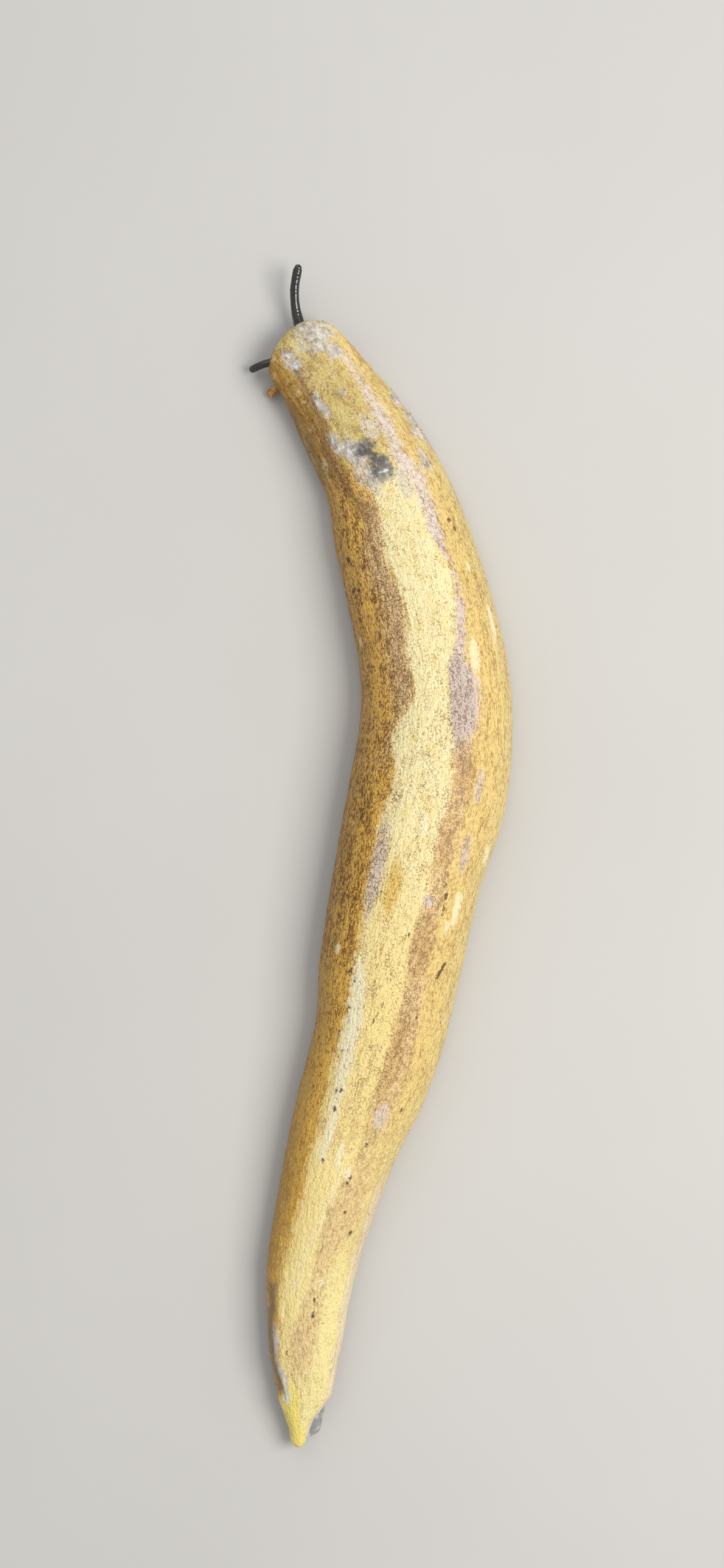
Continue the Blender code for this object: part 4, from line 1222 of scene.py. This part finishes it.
def head_finish():
    """Grained brown skin, dark wet upper feelers, amber lower ones and a dark mouth."""
    finish = Finish("head_leather")
    place = finish.object_place()
    fine, broad = finish.grain(place, 4, 3, 0.6), finish.grain(place, 0.9)
    dark, amber = finish.mark("dark_feeler"), finish.mark("amber_feeler")
    colour = finish.lay(HEAD_BROWN, HEAD_TAN, broad.step(0.35, 0.65))
    colour = finish.lay(colour, HEAD_GRAIN, fine.step(0.52, 0.64))
    colour = finish.lay(colour, finish.lay(FEELER_BLACK, FEELER_GREY, fine.step(0.45, 0.7)), dark)
    colour = finish.lay(colour, finish.lay(AMBER_DEEP, AMBER_LIGHT, broad.step(0.4, 0.6)), amber)
    colour = finish.lay(colour, MOUTH_DARK, finish.mark("mouth") * 0.85)
    wet = dark.either(amber)
    finish.bump(fine * (1 - wet), HEAD_BUMP)
    rough = finish.between(0.42, 0.13, wet)
    finish.set(Base_Color=colour, Roughness=rough, Coat_Weight=0.5, Coat_Roughness=0.08)
    return finish.material


def eye_finish():
    """Wet black with a faint brown rim of noise."""
    finish = Finish("eye_black")
    colour = finish.lay(EYE_BLACK, EYE_RIM, finish.grain(finish.object_place(), 2.5).step(0.5, 0.75))
    finish.set(Base_Color=colour, Roughness=0.08, Coat_Weight=1.0, Coat_Roughness=0.03)
    return finish.material


head_mesh.materials.append(head_finish())
eye_black = eye_finish()
for eye in (eye_right, eye_left):
    eye.data.materials.append(eye_black)
print("finishes:", [material.name for material in bpy.data.materials if material.users])

# %% [markdown]
# ## Floor, light and camera
# The slug crawls over a plain pale floor. Soft daylight comes from above, and more of it from the right
# than from the left, so that the left flank falls into shade.

# %% Floor and light
FLOOR_SIZE = 3.0
FLOOR_DROP = 0.00004
FLOOR_DARK = (0.52, 0.505, 0.48, 1)
FLOOR_LIGHT = (0.58, 0.565, 0.54, 1)
SKY_COLOUR = (0.97, 0.98, 1.0)
SKY_STRENGTH = 0.53
# Each lamp's name, place and size in metres, power in watts, and colour.
LAMPS = (("sky_right", (0.22, 0.0, 0.32), 0.22, 1.25, (1.0, 0.985, 0.95)),
         ("sky_front", (-0.10, 0.26, 0.30), 0.30, 0.3, SKY_COLOUR))


def make_floor():
    """A plain pale floor with the faintest unevenness."""
    bm = bmesh.new()
    place = Matrix.Translation((0, 0, -FLOOR_DROP))
    bmesh.ops.create_grid(bm, x_segments=1, y_segments=1, size=FLOOR_SIZE, matrix=place)
    mesh = finished_mesh(bm, "floor")
    floor = place_in_scene("floor", mesh)
    finish = Finish("pale_floor")
    cloudy = finish.grain(finish.object_place(), 0.018, 3)
    finish.set(Base_Color=finish.lay(FLOOR_DARK, FLOOR_LIGHT, cloudy), Roughness=0.85)
    mesh.materials.append(finish.material)


def soft_light(name, place, size, watts, colour):
    """A square lamp that looks at the middle of the slug."""
    lamp = bpy.data.lights.new(name, "AREA")
    lamp.shape = "SQUARE"
    lamp.size = size
    lamp.energy = watts
    lamp.color = colour
    obj = place_in_scene(name, lamp)
    obj.location = place
    obj.rotation_mode = "QUATERNION"
    obj.rotation_quaternion = (-Vector(place)).to_track_quat("-Z", "Y")


make_floor()
for lamp in LAMPS:
    soft_light(*lamp)
world = bpy.data.worlds.new("sky")
world.use_nodes = True
background = world.node_tree.nodes["Background"]
background.inputs["Color"].default_value = (*SKY_COLOUR, 1)
background.inputs["Strength"].default_value = SKY_STRENGTH
bpy.context.scene.world = world
bpy.context.scene.view_settings.view_transform = "Standard"

# %% [markdown]
# The camera hangs above the back and looks straight down, with the head at the top of the picture.

# %% Camera
CAMERA_OVER = (-2.14, 8.15)
CAMERA_HEIGHT = 302.5
LENS = 61.65
SENSOR_WIDTH = 36
CLIP_START = 0.01

camera_data = bpy.data.cameras.new("camera")
camera_data.lens = LENS
camera_data.sensor_width = SENSOR_WIDTH
camera_data.clip_start = CLIP_START
camera = place_in_scene("camera", camera_data)
camera.location = Vector((*CAMERA_OVER, CAMERA_HEIGHT)) * MILLIMETRE
bpy.context.scene.camera = camera
print("camera above the back, in m:", tuple(round(c, 4) for c in camera.location))

# %% [markdown]
# ## Bring the scene up to date

# %% Update the scene
bpy.context.view_layer.update()
